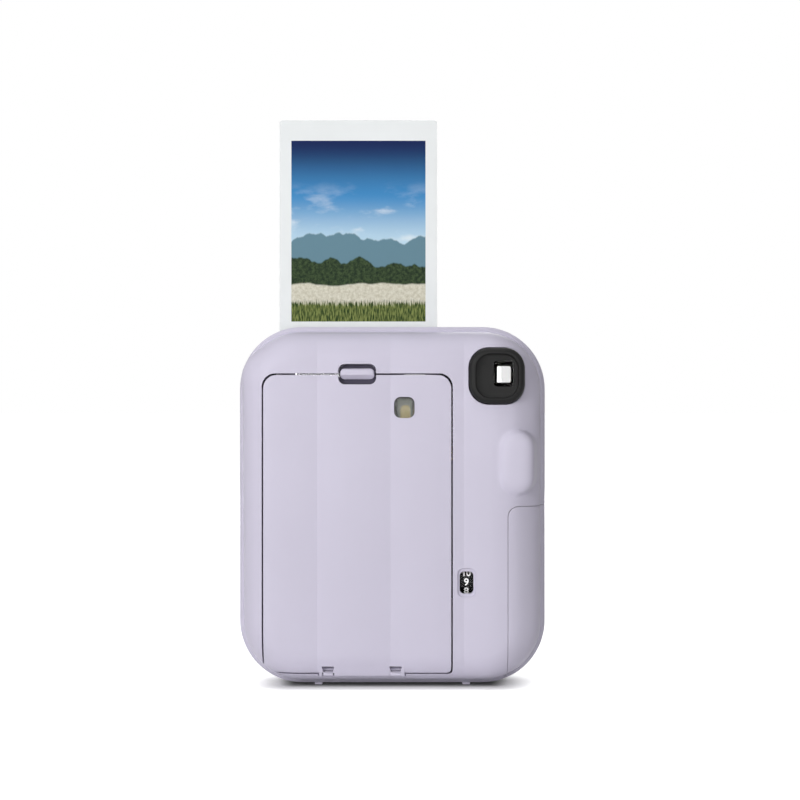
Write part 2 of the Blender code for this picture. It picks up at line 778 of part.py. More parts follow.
def make_back_shell(outer, inner):
    """Rear half of the housing with the door, eyepiece, counter and battery openings."""
    shell = outer.copy()
    shell.data = outer.data.copy()
    CUTTERS.objects.link(shell)
    boolean(shell, thumb_rest("thumb_rest"), "UNION")
    boolean(shell, block("rear_half", (-FAR, FAR), (-FAR, BACK_SHELL_END), (-FAR, FAR)), "INTERSECT")
    boolean(shell, inner)
    foot, top = pocket_zs()
    keeper_half = POCKET_WIDTH / 2 + KEEPER_WALL
    keeper_xs = (FILM_X - keeper_half, FILM_X + keeper_half)
    keeper_start = LATCH_DEPTH + LATCH_PLATE + GAP
    keeper_end = keeper_start + KEEPER_WALL
    boolean(shell, block("keeper_root", keeper_xs, (WALL, keeper_end), (top + GAP, top + GAP + KEEPER_WALL)), "UNION")
    boolean(shell, block("keeper", keeper_xs, (keeper_start, keeper_end), (DOOR_TOP, top + 2 * GAP)), "UNION")
    boolean(shell, door_block("door_opening", SEAM / 2))
    half = HINGE_WIDTH / 2 + SEAM / 2
    axis = (HINGE_DEPTH, HINGE_HEIGHT)
    boolean(shell, rod("barrel_room", "x", HINGE_X - half, HINGE_X + half, axis, BARREL_RADIUS + SEAM, ROUND_SIDES))
    for start, end in lug_ranges(0):
        boolean(shell, rod("lug", "x", start, end, axis, BARREL_RADIUS), "UNION")
        boolean(shell, block("lug_root", (start + GAP, end - GAP), (HINGE_DEPTH, HINGE_DEPTH + 2 * BARREL_RADIUS),
                             (HINGE_HEIGHT - BARREL_RADIUS / 2, DOOR_BASE - SEAM)), "UNION")
        boolean(shell, rod("pin_bore", "x", start - SEAM, end + SEAM, axis, PIN_RADIUS + GAP))
    boolean(shell, battery_block("battery_opening", SEAM / 2))
    boolean(shell, centred("latch_pocket", FILM_X, (foot + top) / 2, POCKET_WIDTH, POCKET_HEIGHT,
                           (-FAR, LATCH_DEPTH + LATCH_PLATE / 2), POCKET_RADIUS))
    boolean(shell, centred("eyepiece_hole", EYEPIECE_X, EYEPIECE_Z, EYEPIECE_WIDTH + 2 * GAP,
                           EYEPIECE_HEIGHT + 2 * GAP, (-FAR, TUBE_START + 2 * GAP), EYEPIECE_RADIUS + GAP))
    boolean(shell, centred("counter_hole", COUNTER_X, COUNTER_Z, COUNTER_WIDTH, COUNTER_HEIGHT,
                           (-FAR, INNER_BACK + GAP), COUNTER_RADIUS))
    boolean(shell, centred("counter_surround", COUNTER_X, COUNTER_Z, SURROUND_WIDTH, SURROUND_HEIGHT,
                           (-FAR, lobe_depth(COUNTER_X) + SURROUND_SUNK), COUNTER_RADIUS + SURROUND_SUNK))
    return publish(shell, "back_shell", "lilac")


def thumb_rest(name):
    """Soft swelling for the thumb on the grip side."""
    bm = bmesh.new()
    middle = at(BODY_RIGHT - THUMB_INSET, THUMB_DEPTH / 2 - THUMB_PROUD, THUMB_Z)
    size = Matrix.Diagonal((THUMB_WIDTH / 2, THUMB_DEPTH / 2, THUMB_HEIGHT / 2, 1))
    bmesh.ops.create_uvsphere(bm, u_segments=16, v_segments=10, radius=1.0, matrix=Matrix.Translation(middle) @ size)
    return mesh_shape(name, bm)


def make_front_shell(outer, inner):
    """Front half of the housing with its feet, film slot, lens opening and windows."""
    shell = outer.copy()
    shell.data = outer.data.copy()
    CUTTERS.objects.link(shell)
    boolean(shell, block("front_half", (-FAR, FAR), (FRONT_SHELL_START, FAR), (-FAR, FAR)), "INTERSECT")
    boolean(shell, inner)
    for side in (-1, 1):
        for depth in FOOT_DEPTHS:
            xs = (side * FOOT_X - FOOT_WIDTH / 2, side * FOOT_X + FOOT_WIDTH / 2)
            span = (depth - FOOT_LENGTH / 2, depth + FOOT_LENGTH / 2)
            boolean(shell, block("foot", xs, span, (0, FOOT_HEIGHT + FOOT_ROOT / 2)), "UNION")
    half = STRAP_OPENING / 2
    room = STRAP_ROOM / 2
    boolean(shell, block("strap_box", (-BODY_RIGHT + WALL / 2, -BODY_RIGHT + STRAP_SUNK + STRAP_WALL),
                         (STRAP_DEPTH - room - STRAP_WALL, STRAP_DEPTH + room + STRAP_WALL),
                         (STRAP_Z - half - STRAP_WALL, STRAP_Z + half + STRAP_WALL)), "UNION")
    boolean(shell, block("strap_recess", (-FAR, -BODY_RIGHT + STRAP_SUNK), (STRAP_DEPTH - room, STRAP_DEPTH + room),
                         (STRAP_Z - half, STRAP_Z + half)))
    reach = half + STRAP_WALL / 2 + GAP
    boolean(shell, rod("strap_bores", "z", STRAP_Z - reach, STRAP_Z + reach, (STRAP_X, STRAP_DEPTH),
                       STRAP_BAR_RADIUS + GAP))
    slot_half = FILM_WIDTH / 2 + 4 * GAP
    slot = FILM_THICKNESS / 2 + 4 * GAP
    boolean(shell, block("film_slot", (FILM_X - slot_half, FILM_X + slot_half), (FILM_DEPTH - slot, FILM_DEPTH + slot),
                         (BODY_TOP - 4 * WALL, FAR)))
    boolean(shell, rod("lens_hole", "depth", CHAMBER_FACE, FAR, (FILM_X, LENS_Z), COLLAR_RADIUS + GAP, LENS_SIDES))
    boolean(shell, centred("flash_hole", FLASH_X, FLASH_Z, FLASH_WIDTH + 2 * GAP, FLASH_HEIGHT + 2 * GAP,
                           (FLASH_BACK - WALL, FAR), FLASH_RADIUS + GAP))
    boolean(shell, centred("bezel_hole", MASK_X, MASK_Z, BEZEL_WIDTH + 2 * GAP, BEZEL_HEIGHT + 2 * GAP,
                           (TUBE_END + OBJECTIVE, FAR), BEZEL_RADIUS + GAP))
    boolean(shell, centred("sensor_hole", SENSOR_X, FLASH_Z, SENSOR_WIDTH + 2 * GAP, SENSOR_HEIGHT + 2 * GAP,
                           (FLASH_BACK - WALL, FAR), SENSOR_HEIGHT / 2))
    cup = BUTTON_RADIUS + GAP + CUP_WALL
    boolean(shell, rod("button_hole", "depth", CUP_BACK - WALL, FAR, (BUTTON_X, BUTTON_Z), cup + GAP, ROUND_SIDES))
    boolean(shell, battery_block("battery_side_opening", SEAM / 2))
    return publish(shell, "front_shell", "lilac")


def make_door(outer, inner):
    """Film door flush with the back, with its hinge section, window and latch shelf."""
    door = outer.copy()
    door.data = outer.data.copy()
    CUTTERS.objects.link(door)
    boolean(door, door_block("door_room", -SEAM / 2), "INTERSECT")
    boolean(door, inner)
    half = HINGE_WIDTH / 2 - SEAM / 2
    axis = (HINGE_DEPTH, HINGE_HEIGHT)
    boolean(door, rod("barrel", "x", HINGE_X - half, HINGE_X + half, axis, BARREL_RADIUS), "UNION")
    boolean(door, rod("barrel_bore", "x", HINGE_X - half + SEAM, HINGE_X + half - SEAM, axis, PIN_RADIUS + GAP))
    for start, end in lug_ranges(SEAM):
        boolean(door, rod("lug_room", "x", start, end, axis, BARREL_RADIUS + GAP))
        boolean(door, block("notch", (start, end), (-FAR, NOTCH_DEPTH), (NOTCH_BASE, NOTCH_BASE + NOTCH_HEIGHT)))
    shelf_half = LATCH_SPRING_RADIUS + 2 * GAP
    shelf_top = latch_foot() - GAP - latch_spring_length() - GAP
    boolean(door, block("latch_shelf", (FILM_X - shelf_half, FILM_X + shelf_half),
                        (WALL, LATCH_DEPTH + 2 * shelf_half), (shelf_top - LATCH_PLATE, shelf_top)), "UNION")
    foot, top = pocket_zs()
    boolean(door, centred("door_pocket", FILM_X, (foot + top) / 2, POCKET_WIDTH, POCKET_HEIGHT,
                          (-FAR, LATCH_DEPTH), POCKET_RADIUS))
    boolean(door, centred("window_hole", WINDOW_X, WINDOW_Z, WINDOW_WIDTH, WINDOW_HEIGHT, (-FAR, INNER_BACK + GAP),
                          WINDOW_RADIUS))
    return publish(door, "back_door", "lilac", origin=(HINGE_X, HINGE_DEPTH, HINGE_HEIGHT))


def latch_foot():
    """Height of the latch plate's lower edge."""
    return DOOR_TOP - POCKET_HEIGHT / 2 - LATCH_TAIL / 2


def latch_spring_length():
    """Room of the latch spring below the plate."""
    return LATCH_SPRING_TURNS * (2 * SPRING_WIRE + 2 * GAP)


def make_door_pieces(door):
    """Window, latch, latch spring and pressure springs, which the door carries."""
    pane = (PANE_SUNK, PANE_SUNK + PANE)
    window = centred("pane", WINDOW_X, WINDOW_Z, WINDOW_WIDTH - 2 * GAP, WINDOW_HEIGHT - 2 * GAP, pane,
                     WINDOW_RADIUS - GAP)
    publish(window, "door_window", "clear", carrier=door)
    depths = (LATCH_DEPTH, LATCH_DEPTH + LATCH_PLATE)
    foot, top = pocket_zs()
    wide = POCKET_WIDTH / 2 + LATCH_OVERHANG
    narrow = POCKET_WIDTH / 2 - GAP
    latch = block("latch_plate", (FILM_X - wide, FILM_X + wide), depths, (latch_foot(), DOOR_TOP - SEAM - GAP))
    boolean(latch, block("latch_tongue", (FILM_X - narrow, FILM_X + narrow), depths, (foot, top - GAP), POCKET_RADIUS),
            "UNION")
    knob_half = narrow - GAP
    knob_top = top - KNOB_TOP_GAP
    boolean(latch, block("latch_knob", (FILM_X - knob_half, FILM_X + knob_half),
                         (KNOB_SUNK, LATCH_DEPTH + LATCH_PLATE / 2), (knob_top - KNOB_HEIGHT, knob_top),
                         KNOB_HEIGHT / 2 - GAP, edge=GAP), "UNION")
    publish(latch, "door_latch", "lilac", origin=(FILM_X, LATCH_DEPTH, DOOR_TOP), carrier=door)
    spring_top = latch_foot() - GAP
    spring = coil("coil", "z", spring_top - latch_spring_length(), spring_top,
                  (FILM_X, LATCH_DEPTH + LATCH_SPRING_RADIUS + SPRING_WIRE), LATCH_SPRING_RADIUS, SPRING_WIRE,
                  LATCH_SPRING_TURNS)
    publish(spring, "latch_spring", "steel", carrier=door)
    for side, name in ((-1, "pressure_spring_left"), (1, "pressure_spring_right")):
        middle = FILM_X + side * PRESSURE_SPREAD / 2
        strip = flat(name, [pressure_outline()], "x", middle - PRESSURE_WIDTH / 2, middle + PRESSURE_WIDTH / 2)
        publish(strip, name, "steel", carrier=door)


def pressure_outline():
    """Arched leaf between the door and the film pack, as (depth, z)."""
    low = INNER_BACK + GAP
    rise = PACK_REAR - GAP - PRESSURE_STRIP - low
    steps = 8
    outer = []
    inner = []
    for step in range(steps + 1):
        share = step / steps
        z = LENS_Z + PRESSURE_LENGTH * (share - 0.5)
        depth = low + rise * math.sin(math.pi * share)
        outer.append((depth, z))
        inner.append((depth + PRESSURE_STRIP, z))
    return outer + inner[::-1]


def make_hinge_pin():
    """Pin through the door's barrel and both lugs."""
    half = HINGE_WIDTH / 2 - 2 * SEAM - GAP
    pin = rod("pin", "x", HINGE_X - half, HINGE_X + half, (HINGE_DEPTH, HINGE_HEIGHT), PIN_RADIUS)
    publish(pin, "hinge_pin", "steel")


def make_battery_cover(outer, inner):
    """Cover round the housing's lower right edge, with two tongues behind the back shell."""
    cover = outer.copy()
    cover.data = outer.data.copy()
    CUTTERS.objects.link(cover)
    boolean(cover, battery_block("battery_room", -SEAM / 2), "INTERSECT")
    boolean(cover, inner)
    start = INNER_BACK + GAP
    edge = COVER_LEFT + SEAM / 2
    for z in (COVER_TOP / 3, 2 * COVER_TOP / 3):
        zs = (z - TAB_HEIGHT / 2, z + TAB_HEIGHT / 2)
        boolean(cover, block("tongue_root", (edge + GAP, edge + TAB_REACH), (WALL, start + TAB_PLATE), zs), "UNION")
        boolean(cover, block("tongue", (edge - TAB_REACH, edge + 2 * GAP), (start, start + TAB_PLATE), zs), "UNION")
    publish(cover, "battery_cover", "lilac", origin=(COVER_LEFT, COVER_DEPTH / 2, COVER_TOP / 2))


def make_film():
    """Chamber with its light cone, film pack, remaining film and the print."""
    xs = (FILM_X - CHAMBER_HALF, FILM_X + CHAMBER_HALF)
    chamber = block("chamber", xs, (CHAMBER_BACK, CHAMBER_FACE), (CHAMBER_BASE, CHAMBER_TOP), CHAMBER_CORNER)
    boolean(chamber, cone("cone_outer", CHAMBER_WALL, GATE_DEPTH + GAP, CONE_END_DEPTH), "UNION")
    half = PACK_HALF + GAP
    boolean(chamber, block("pack_room", (FILM_X - half, FILM_X + half), (-FAR, GATE_DEPTH),
                           (PACK_BASE - GAP, PACK_TOP + GAP)))
    boolean(chamber, cone("cone_inner", 0, GATE_DEPTH - GAP, CONE_END_DEPTH + GAP))
    lane = (FILM_DEPTH - FILM_THICKNESS / 2 - LANE_GAP, FILM_DEPTH + FILM_THICKNESS / 2 + LANE_GAP)
    lane_half = FILM_WIDTH / 2 + GAP
    lane_xs = (FILM_X - lane_half, FILM_X + lane_half)
    boolean(chamber, block("chamber_lane", lane_xs, lane, (PACK_TOP, FAR)))
    boolean(chamber, rod("axle_seat", "x", FILM_X + half - GAP, FAR, (DRUM_DEPTH, COUNTER_Z), AXLE_RADIUS + GAP))
    publish(chamber, "film_chamber", "black")

    pack = block("pack", (FILM_X - PACK_HALF, FILM_X + PACK_HALF), (PACK_REAR, PACK_FACE), (PACK_BASE, PACK_TOP),
                 PACK_WALL)
    inside = (PACK_REAR + PACK_CAP, lane[1])
    boolean(pack, block("pack_inside", lane_xs, inside, (PACK_BASE + PACK_CAP, PACK_TOP - PACK_CAP)))
    boolean(pack, block("pack_lane", lane_xs, lane, (PACK_TOP - 2 * PACK_CAP, FAR)))
    boolean(pack, centred("pack_window", FILM_X, LENS_Z, PICTURE_WIDTH, PICTURE_HEIGHT, (FILM_DEPTH, FAR)))
    for side in (-1, 1):
        boolean(pack, centred("pack_slot", FILM_X + side * PRESSURE_SPREAD / 2, LENS_Z, PRESSURE_WIDTH / 2,
                              2 * PRESSURE_LENGTH, (-FAR, PACK_REAR + 2 * PACK_CAP)))
    publish(pack, "film_pack", "black")

    stack_zs = (PACK_BASE + PACK_CAP + GAP, PACK_BASE + PACK_CAP + GAP + FILM_LENGTH)
    stack = block("stack", (FILM_X - FILM_WIDTH / 2, FILM_X + FILM_WIDTH / 2), (inside[0] + GAP, lane[0] - GAP / 2),
                  stack_zs, FILM_CORNER)
    publish(stack, "film_stack", "film")

    thick = (FILM_DEPTH - FILM_THICKNESS / 2, FILM_DEPTH + FILM_THICKNESS / 2)
    sheet = centred("sheet", FILM_X, (PRINT_TOP + PRINT_BASE) / 2, FILM_WIDTH, FILM_LENGTH, thick, FILM_CORNER)
    publish(sheet, "film_print", "paper", origin=(FILM_X, FILM_DEPTH, PRINT_BASE))


def cone(name, wall, start, end):
    """Four-sided taper from the picture gate to the shutter."""
    bm = bmesh.new()
    bmesh.ops.create_cube(bm, size=2.0)
    for vert in bm.verts:
        far = vert.co.y > 0
        half_x = (CONE_END_SIDE if far else PICTURE_WIDTH) / 2 + wall
        half_z = (CONE_END_SIDE if far else PICTURE_HEIGHT) / 2 + wall
        vert.co = at(FILM_X + math.copysign(half_x, vert.co.x), end if far else start,
                     LENS_Z + math.copysign(half_z, vert.co.z))
    return mesh_shape(name, bm)


def transport_axes():
    """Centres as (depth, z) and phases of the gears, from the pressure roller to the motor."""
    pressure = (FILM_DEPTH - ROLLER_OFFSET, ROLLER_Z)
    drive = (FILM_DEPTH + ROLLER_OFFSET, ROLLER_Z)
    large = gear_spot(drive, ROLLER_TEETH, LARGE_TEETH, LARGE_BEARING)
    small = gear_spot(large, LARGE_TEETH, SMALL_TEETH, SMALL_BEARING)
    pinion = gear_spot(small, SMALL_TEETH, PINION_TEETH, PINION_BEARING)
    drive_phase = 0.0
    pressure_phase = mesh_phase(drive_phase, ROLLER_TEETH, math.pi, ROLLER_TEETH)
    large_phase = mesh_phase(drive_phase, ROLLER_TEETH, LARGE_BEARING, LARGE_TEETH)
    small_phase = mesh_phase(large_phase, LARGE_TEETH, SMALL_BEARING, SMALL_TEETH)
    pinion_phase = mesh_phase(small_phase, SMALL_TEETH, PINION_BEARING, PINION_TEETH)
    return {
        "pressure_roller": (pressure, ROLLER_TEETH, pressure_phase),
        "drive_roller": (drive, ROLLER_TEETH, drive_phase),
        "idler_gear_large": (large, LARGE_TEETH, large_phase),
        "idler_gear_small": (small, SMALL_TEETH, small_phase),
        "motor_pinion": (pinion, PINION_TEETH, pinion_phase),
    }


def make_transport():
    """Rollers with their gears, idlers, motor and the frame that carries them."""
    axes = transport_axes()
    gear_xs = (GEAR_X, GEAR_X + GEAR_WIDTH)
    roller_left = FILM_X - ROLLER_LENGTH / 2
    roller_right = FILM_X + ROLLER_LENGTH / 2
    plate_left = roller_left - GAP - FRAME_PLATE
    plate_right = roller_right + GAP
    gear_plate = gear_xs[1] + GAP
    for name, gear_name in (("pressure_roller", "pressure_gear"), ("drive_roller", "drive_gear")):
        centre, teeth, phase = axes[name]
        ends = (plate_left, gear_xs[1])
        profile = [(0, ends[0]), (JOURNAL_RADIUS, ends[0]), (JOURNAL_RADIUS, roller_left), (ROLLER_RADIUS, roller_left),
                   (ROLLER_RADIUS, roller_right), (JOURNAL_RADIUS, roller_right), (JOURNAL_RADIUS, ends[1]),
                   (0, ends[1])]
        roller = turned(name, profile, "x", centre, SMALL_SIDES + 6)
        publish(roller, name, "steel")
        gear = flat(gear_name, [gear_outline(centre, teeth, phase), circle(centre, JOURNAL_RADIUS + GAP)], "x", *gear_xs)
        publish(gear, gear_name, "nylon", origin=(GEAR_X, *centre), carrier=roller, smooth=False)
    for name in ("idler_gear_large", "idler_gear_small"):
        centre, teeth, phase = axes[name]
        gear = flat(name, [gear_outline(centre, teeth, phase), circle(centre, AXLE_RADIUS + GAP)], "x", *gear_xs)
        publish(gear, name, "nylon", origin=(GEAR_X, *centre), smooth=False)
    centre, teeth, phase = axes["motor_pinion"]
    pinion = flat("pinion", [gear_outline(centre, teeth, phase)], "x", *gear_xs)
    motor_start = gear_plate + FRAME_PLATE + GAP
    boolean(pinion, rod("shaft", "x", gear_xs[1] - GAP, motor_start - GAP, centre, SHAFT_RADIUS), "UNION")
    publish(pinion, "motor_pinion", "brass", origin=(GEAR_X, *centre), smooth=False)
    end = motor_start + MOTOR_LENGTH
    boss = SHAFT_RADIUS * 3
    profile = [(0, motor_start), (MOTOR_RADIUS, motor_start), (MOTOR_RADIUS, end), (boss, end), (boss, end + PANE),
               (0, end + PANE)]
    publish(turned("can", profile, "x", centre), "motor", "steel")

    pressure, drive = axes["pressure_roller"][0], axes["drive_roller"][0]
    frame_back = pressure[0] - ROLLER_RADIUS - GAP
    bar_start = drive[0] + GEAR_MODULE * (ROLLER_TEETH / 2 + 1) + 2 * GAP
    base = CHAMBER_TOP + GAP
    bar_base = axes["idler_gear_large"][0][1] + GEAR_MODULE * (LARGE_TEETH / 2 + 1) + GAP
    frame = block("bar", (plate_left, gear_plate + FRAME_PLATE), (bar_start, bar_start + FRAME_PLATE),
                  (bar_base, FRAME_TOP))
    for start in (plate_left, plate_right):
        boolean(frame, block("roller_plate", (start, start + FRAME_PLATE), (frame_back, bar_start + FRAME_PLATE / 2),
                             (base, FRAME_TOP)), "UNION")
    motor_spot = axes["motor_pinion"][0]
    boolean(frame, block("gear_plate", (gear_plate, gear_plate + FRAME_PLATE),
                         (drive[0] - GEAR_MODULE * ROLLER_TEETH / 2, motor_spot[0] + MOTOR_RADIUS),
                         (motor_spot[1] - MOTOR_RADIUS, FRAME_TOP)), "UNION")
    for name in ("idler_gear_large", "idler_gear_small"):
        boolean(frame, rod("axle", "x", gear_xs[0], gear_plate + FRAME_PLATE / 2, axes[name][0], AXLE_RADIUS), "UNION")
    for centre in (pressure, drive):
        boolean(frame, rod("journal_bore", "x", -FAR, plate_right + 2 * FRAME_PLATE, centre, JOURNAL_RADIUS + GAP))
    boolean(frame, rod("shaft_bore", "x", gear_xs[1], FAR, motor_spot, SHAFT_RADIUS + GAP))
    publish(frame, "transport_frame", "charcoal", smooth=False)


def make_counter():
    """Counter drum on its axle behind the small window."""
    centre = (DRUM_DEPTH, COUNTER_Z)
    bore = AXLE_RADIUS + GAP
    outline = [(bore, DRUM_LEFT), (DRUM_RADIUS, DRUM_LEFT), (DRUM_RADIUS, DRUM_RIGHT), (bore, DRUM_RIGHT)]
    drum = turned("drum", outline, "x", centre)
    publish(drum, "counter_drum", "black")
    axle = rod("counter_pin", "x", FILM_X + PACK_HALF + 2 * GAP, DRUM_RIGHT + GAP, centre, AXLE_RADIUS)
    publish(axle, "counter_axle", "steel")
    depth = lobe_depth(COUNTER_X) + SURROUND_SUNK
    pane = centred("counter_pane", COUNTER_X, COUNTER_Z, COUNTER_WIDTH - 2 * GAP, COUNTER_HEIGHT - 2 * GAP,
                   (depth + GAP, depth + GAP + PANE), COUNTER_RADIUS - GAP)
    publish(pane, "counter_window", "clear")


def make_viewfinder():
    """Eyepiece, tube, objective and the front window in its bezel."""
    ring = centred("ring", EYEPIECE_X, EYEPIECE_Z, EYEPIECE_WIDTH, EYEPIECE_HEIGHT, (-EYEPIECE_PROUD, EYEPIECE_BACK),
                   EYEPIECE_RADIUS, edge=(EYEPIECE_WIDTH - PANEL_WIDTH) / 4)
    sleeve = 2 * SLEEVE_WALL
    boolean(ring, centred("sleeve", SIGHT_X, SIGHT_Z, SIGHT_WIDTH + sleeve, SIGHT_HEIGHT + sleeve,
                          (EYEPIECE_BACK - GAP, TUBE_START - GAP), SIGHT_RADIUS + SLEEVE_WALL), "UNION")
    boolean(ring, centred("panel", EYEPIECE_X, EYEPIECE_Z, PANEL_WIDTH, PANEL_HEIGHT, (-FAR, PANEL_DEPTH), PANEL_RADIUS))
    boolean(ring, centred("sight", SIGHT_X, SIGHT_Z, SIGHT_WIDTH, SIGHT_HEIGHT, (-FAR, FAR), SIGHT_RADIUS))
    publish(ring, "eyepiece_ring", "charcoal")
    lens = centred("sight_lens", SIGHT_X, SIGHT_Z, SIGHT_WIDTH - 2 * GAP, SIGHT_HEIGHT - 2 * GAP,
                   (PANEL_DEPTH + PANE_SUNK, EYEPIECE_BACK), SIGHT_RADIUS - GAP)
    publish(lens, "eyepiece_lens", "clear")
    tube = centred("tube", TUBE_X, TUBE_Z, TUBE_WIDTH, TUBE_HEIGHT, (TUBE_START, TUBE_END), TUBE_RADIUS)
    boolean(tube, centred("tube_bore", TUBE_X, TUBE_Z, TUBE_WIDTH - 2 * TUBE_WALL, TUBE_HEIGHT - 2 * TUBE_WALL,
                          (-FAR, TUBE_END - TUBE_WALL), TUBE_RADIUS - TUBE_WALL))
    boolean(tube, centred("mask", MASK_X, MASK_Z, MASK_WIDTH, MASK_HEIGHT, (TUBE_START, FAR)))
    publish(tube, "viewfinder_tube", "black")
    start = TUBE_END + GAP
    margin = 2 * BEZEL_WALL
    glass = (BEZEL_WIDTH - margin, BEZEL_HEIGHT - margin)
    publish(centred("objective", MASK_X, MASK_Z, *glass, (start, start + OBJECTIVE)), "viewfinder_objective", "clear")
    bezel = centred("bezel", MASK_X, MASK_Z, BEZEL_WIDTH, BEZEL_HEIGHT, (start + OBJECTIVE + GAP, BEZEL_FRONT),
                    BEZEL_RADIUS)
    boolean(bezel, centred("bezel_bore", MASK_X, MASK_Z, *glass, (-FAR, FAR), SIGHT_RADIUS))
    publish(bezel, "viewfinder_bezel", "charcoal")
    pane = centred("front_pane", MASK_X, MASK_Z, glass[0] - 2 * GAP, glass[1] - 2 * GAP,
                   (BEZEL_FRONT - PANE_SUNK - PANE, BEZEL_FRONT - PANE_SUNK), SIGHT_RADIUS - GAP)
    publish(pane, "viewfinder_window", "clear")


def make_flash(outer):
    """Flash window flush with the front, its reflector and tube, the capacitor and the light sensor."""
    window = outer.copy()
    window.data = outer.data.copy()
    CUTTERS.objects.link(window)
    boolean(window, centred("flash_room", FLASH_X, FLASH_Z, FLASH_WIDTH, FLASH_HEIGHT, (FLASH_BACK, FAR), FLASH_RADIUS),
            "INTERSECT")
    publish(window, "flash_window", "clear")
    front = FLASH_BACK - GAP
    width = FLASH_WIDTH - 2 * REFLECTOR_MARGIN
    height = FLASH_HEIGHT - 2 * REFLECTOR_MARGIN
    reflector = centred("reflector", FLASH_X, FLASH_Z, width, height, (front - REFLECTOR_LENGTH, front))
    trough = width / 2 - REFLECTOR_MARGIN
    boolean(reflector, rod("trough", "x", FLASH_X - trough, FLASH_X + trough, (front, FLASH_Z), REFLECTOR_RADIUS,
                           ROUND_SIDES))
    tube_spot = (front - REFLECTOR_RADIUS / 2, FLASH_Z)
    reach = width / 2
    boolean(reflector, rod("tube_bore", "x", -FAR, FAR, tube_spot, FLASH_TUBE_RADIUS + GAP))
    publish(reflector, "flash_reflector", "mirror", smooth=False)
    publish(rod("flash_rod", "x", FLASH_X - reach, FLASH_X + reach, tube_spot, FLASH_TUBE_RADIUS), "flash_tube", "glass")
    spot = (CAPACITOR_DEPTH, BODY_BASE + WALL + GAP + CAPACITOR_RADIUS)
    capacitor = rod("capacitor", "x", FILM_X - CAPACITOR_LENGTH / 2, FILM_X + CAPACITOR_LENGTH / 2, spot,
                    CAPACITOR_RADIUS, ROUND_SIDES)
    publish(capacitor, "flash_capacitor", "charcoal")
    face = FACE_DEPTH - SENSOR_SUNK
    sensor = centred("sensor", SENSOR_X, FLASH_Z, SENSOR_WIDTH, SENSOR_HEIGHT, (face - SENSOR_LENGTH, face),
                     SENSOR_HEIGHT / 2 - GAP)
    publish(sensor, "sensor_window", "charcoal")


def fillet(radius, distance, size, steps=FILLET_STEPS):
    """Rounded outer corner of a turned profile that ends at a radius and a front distance."""
    return arc((radius - size, distance - size), size, 0, math.pi / 2, steps)


def make_lens():
    """Collar, turning ring, sliding barrel with its glass, cover blades and mirror, and the shutter."""
    axis = (FILM_X, LENS_Z)
    bore = RING_SKIRT + GAP
    collar = [(bore, COLLAR_BACK), (COLLAR_RADIUS, COLLAR_BACK), *fillet(COLLAR_RADIUS, COLLAR_FRONT, WALL),
              (bore, COLLAR_FRONT)]
    publish(turned("collar", collar, "depth", axis, LENS_SIDES), "lens_collar", "lilac")
    hole = BARREL_OUTER + GAP
    shoulder = COLLAR_FRONT + GAP
    ring = [(hole, RING_BACK), (RING_SKIRT, RING_BACK), (RING_SKIRT, shoulder), (RING_RADIUS, shoulder),
            *fillet(RING_RADIUS, RING_FRONT, WALL), (hole, RING_FRONT)]
    publish(turned("ring_turn", ring, "depth", axis, LENS_SIDES), "control_ring", "lilac")

    front = LENS_REACH
    rear = front - BARREL_LENGTH
    plate = front - BARREL_PLATE
    web_front = plate - BLADE_ROOM
    web_back = web_front - BARREL_WEB
    seat = GLASS_RADIUS + GAP
    barrel_profile = [(BARREL_INNER, rear), (BARREL_OUTER, rear), *fillet(BARREL_OUTER, front, WALL / 2),
                      (LENS_FLARE, front), (LENS_MOUTH, plate + WALL / 4), (LENS_MOUTH, plate), (BARREL_INNER, plate),
                      (BARREL_INNER, web_front), (seat, web_front), (seat, web_back), (BARREL_INNER, web_back)]
    barrel = turned("barrel_turn", barrel_profile, "depth", axis, LENS_SIDES)
    offset = MIRROR_OFFSET / math.sqrt(2)
    mirror_spot = (FILM_X - offset, LENS_Z + offset)
    boolean(barrel, rod("mirror_seat", "depth", front - MIRROR_PLATE - GAP, FAR, mirror_spot, MIRROR_RADIUS + GAP))
    publish(barrel, "lens_barrel", "charcoal")
    mirror = rod("mirror", "depth", front - MIRROR_PLATE, front, mirror_spot, MIRROR_RADIUS, SMALL_SIDES + 6)
    publish(mirror, "close_up_mirror", "mirror", carrier=barrel)
    glass_front = web_front - GAP
    publish(glass("front_glass", glass_front - FRONT_GLASS, glass_front), "lens_front", "glass", carrier=barrel)
    glass_front -= FRONT_GLASS + GAP
    publish(glass("rear_glass", glass_front - REAR_GLASS, glass_front), "lens_rear", "glass", carrier=barrel)
    blade_back = web_front + (BLADE_ROOM - COVER_BLADE) / 2
    for side, name in ((-1, "lens_cover_left"), (1, "lens_cover_right")):
        middle = (FILM_X + side * (COVER_OPEN + GAP / 2), LENS_Z)
        outwards = math.pi * (1 - side) / 2
        outline = arc(middle, COVER_RADIUS, outwards - math.pi / 2, outwards + math.pi / 2, 12)
        blade = flat(name, [outline], "depth", blade_back, blade_back + COVER_BLADE)
        publish(blade, name, "black", origin=(middle[0], blade_back, LENS_Z), carrier=barrel)
    make_shutter()


def glass(name, start, end):
    """Lens element with two curved faces."""
    swell = (end - start) / 4
    face = [(GLASS_RADIUS * share, swell * (1 - share * share)) for share in (0, 0.6, 1)]
    back = [(radius, start + swell - rise) for radius, rise in face]
    front = [(radius, end - swell + rise) for radius, rise in reversed(face)]
    return turned(name, back + front, "depth", (FILM_X, LENS_Z), ROUND_SIDES)


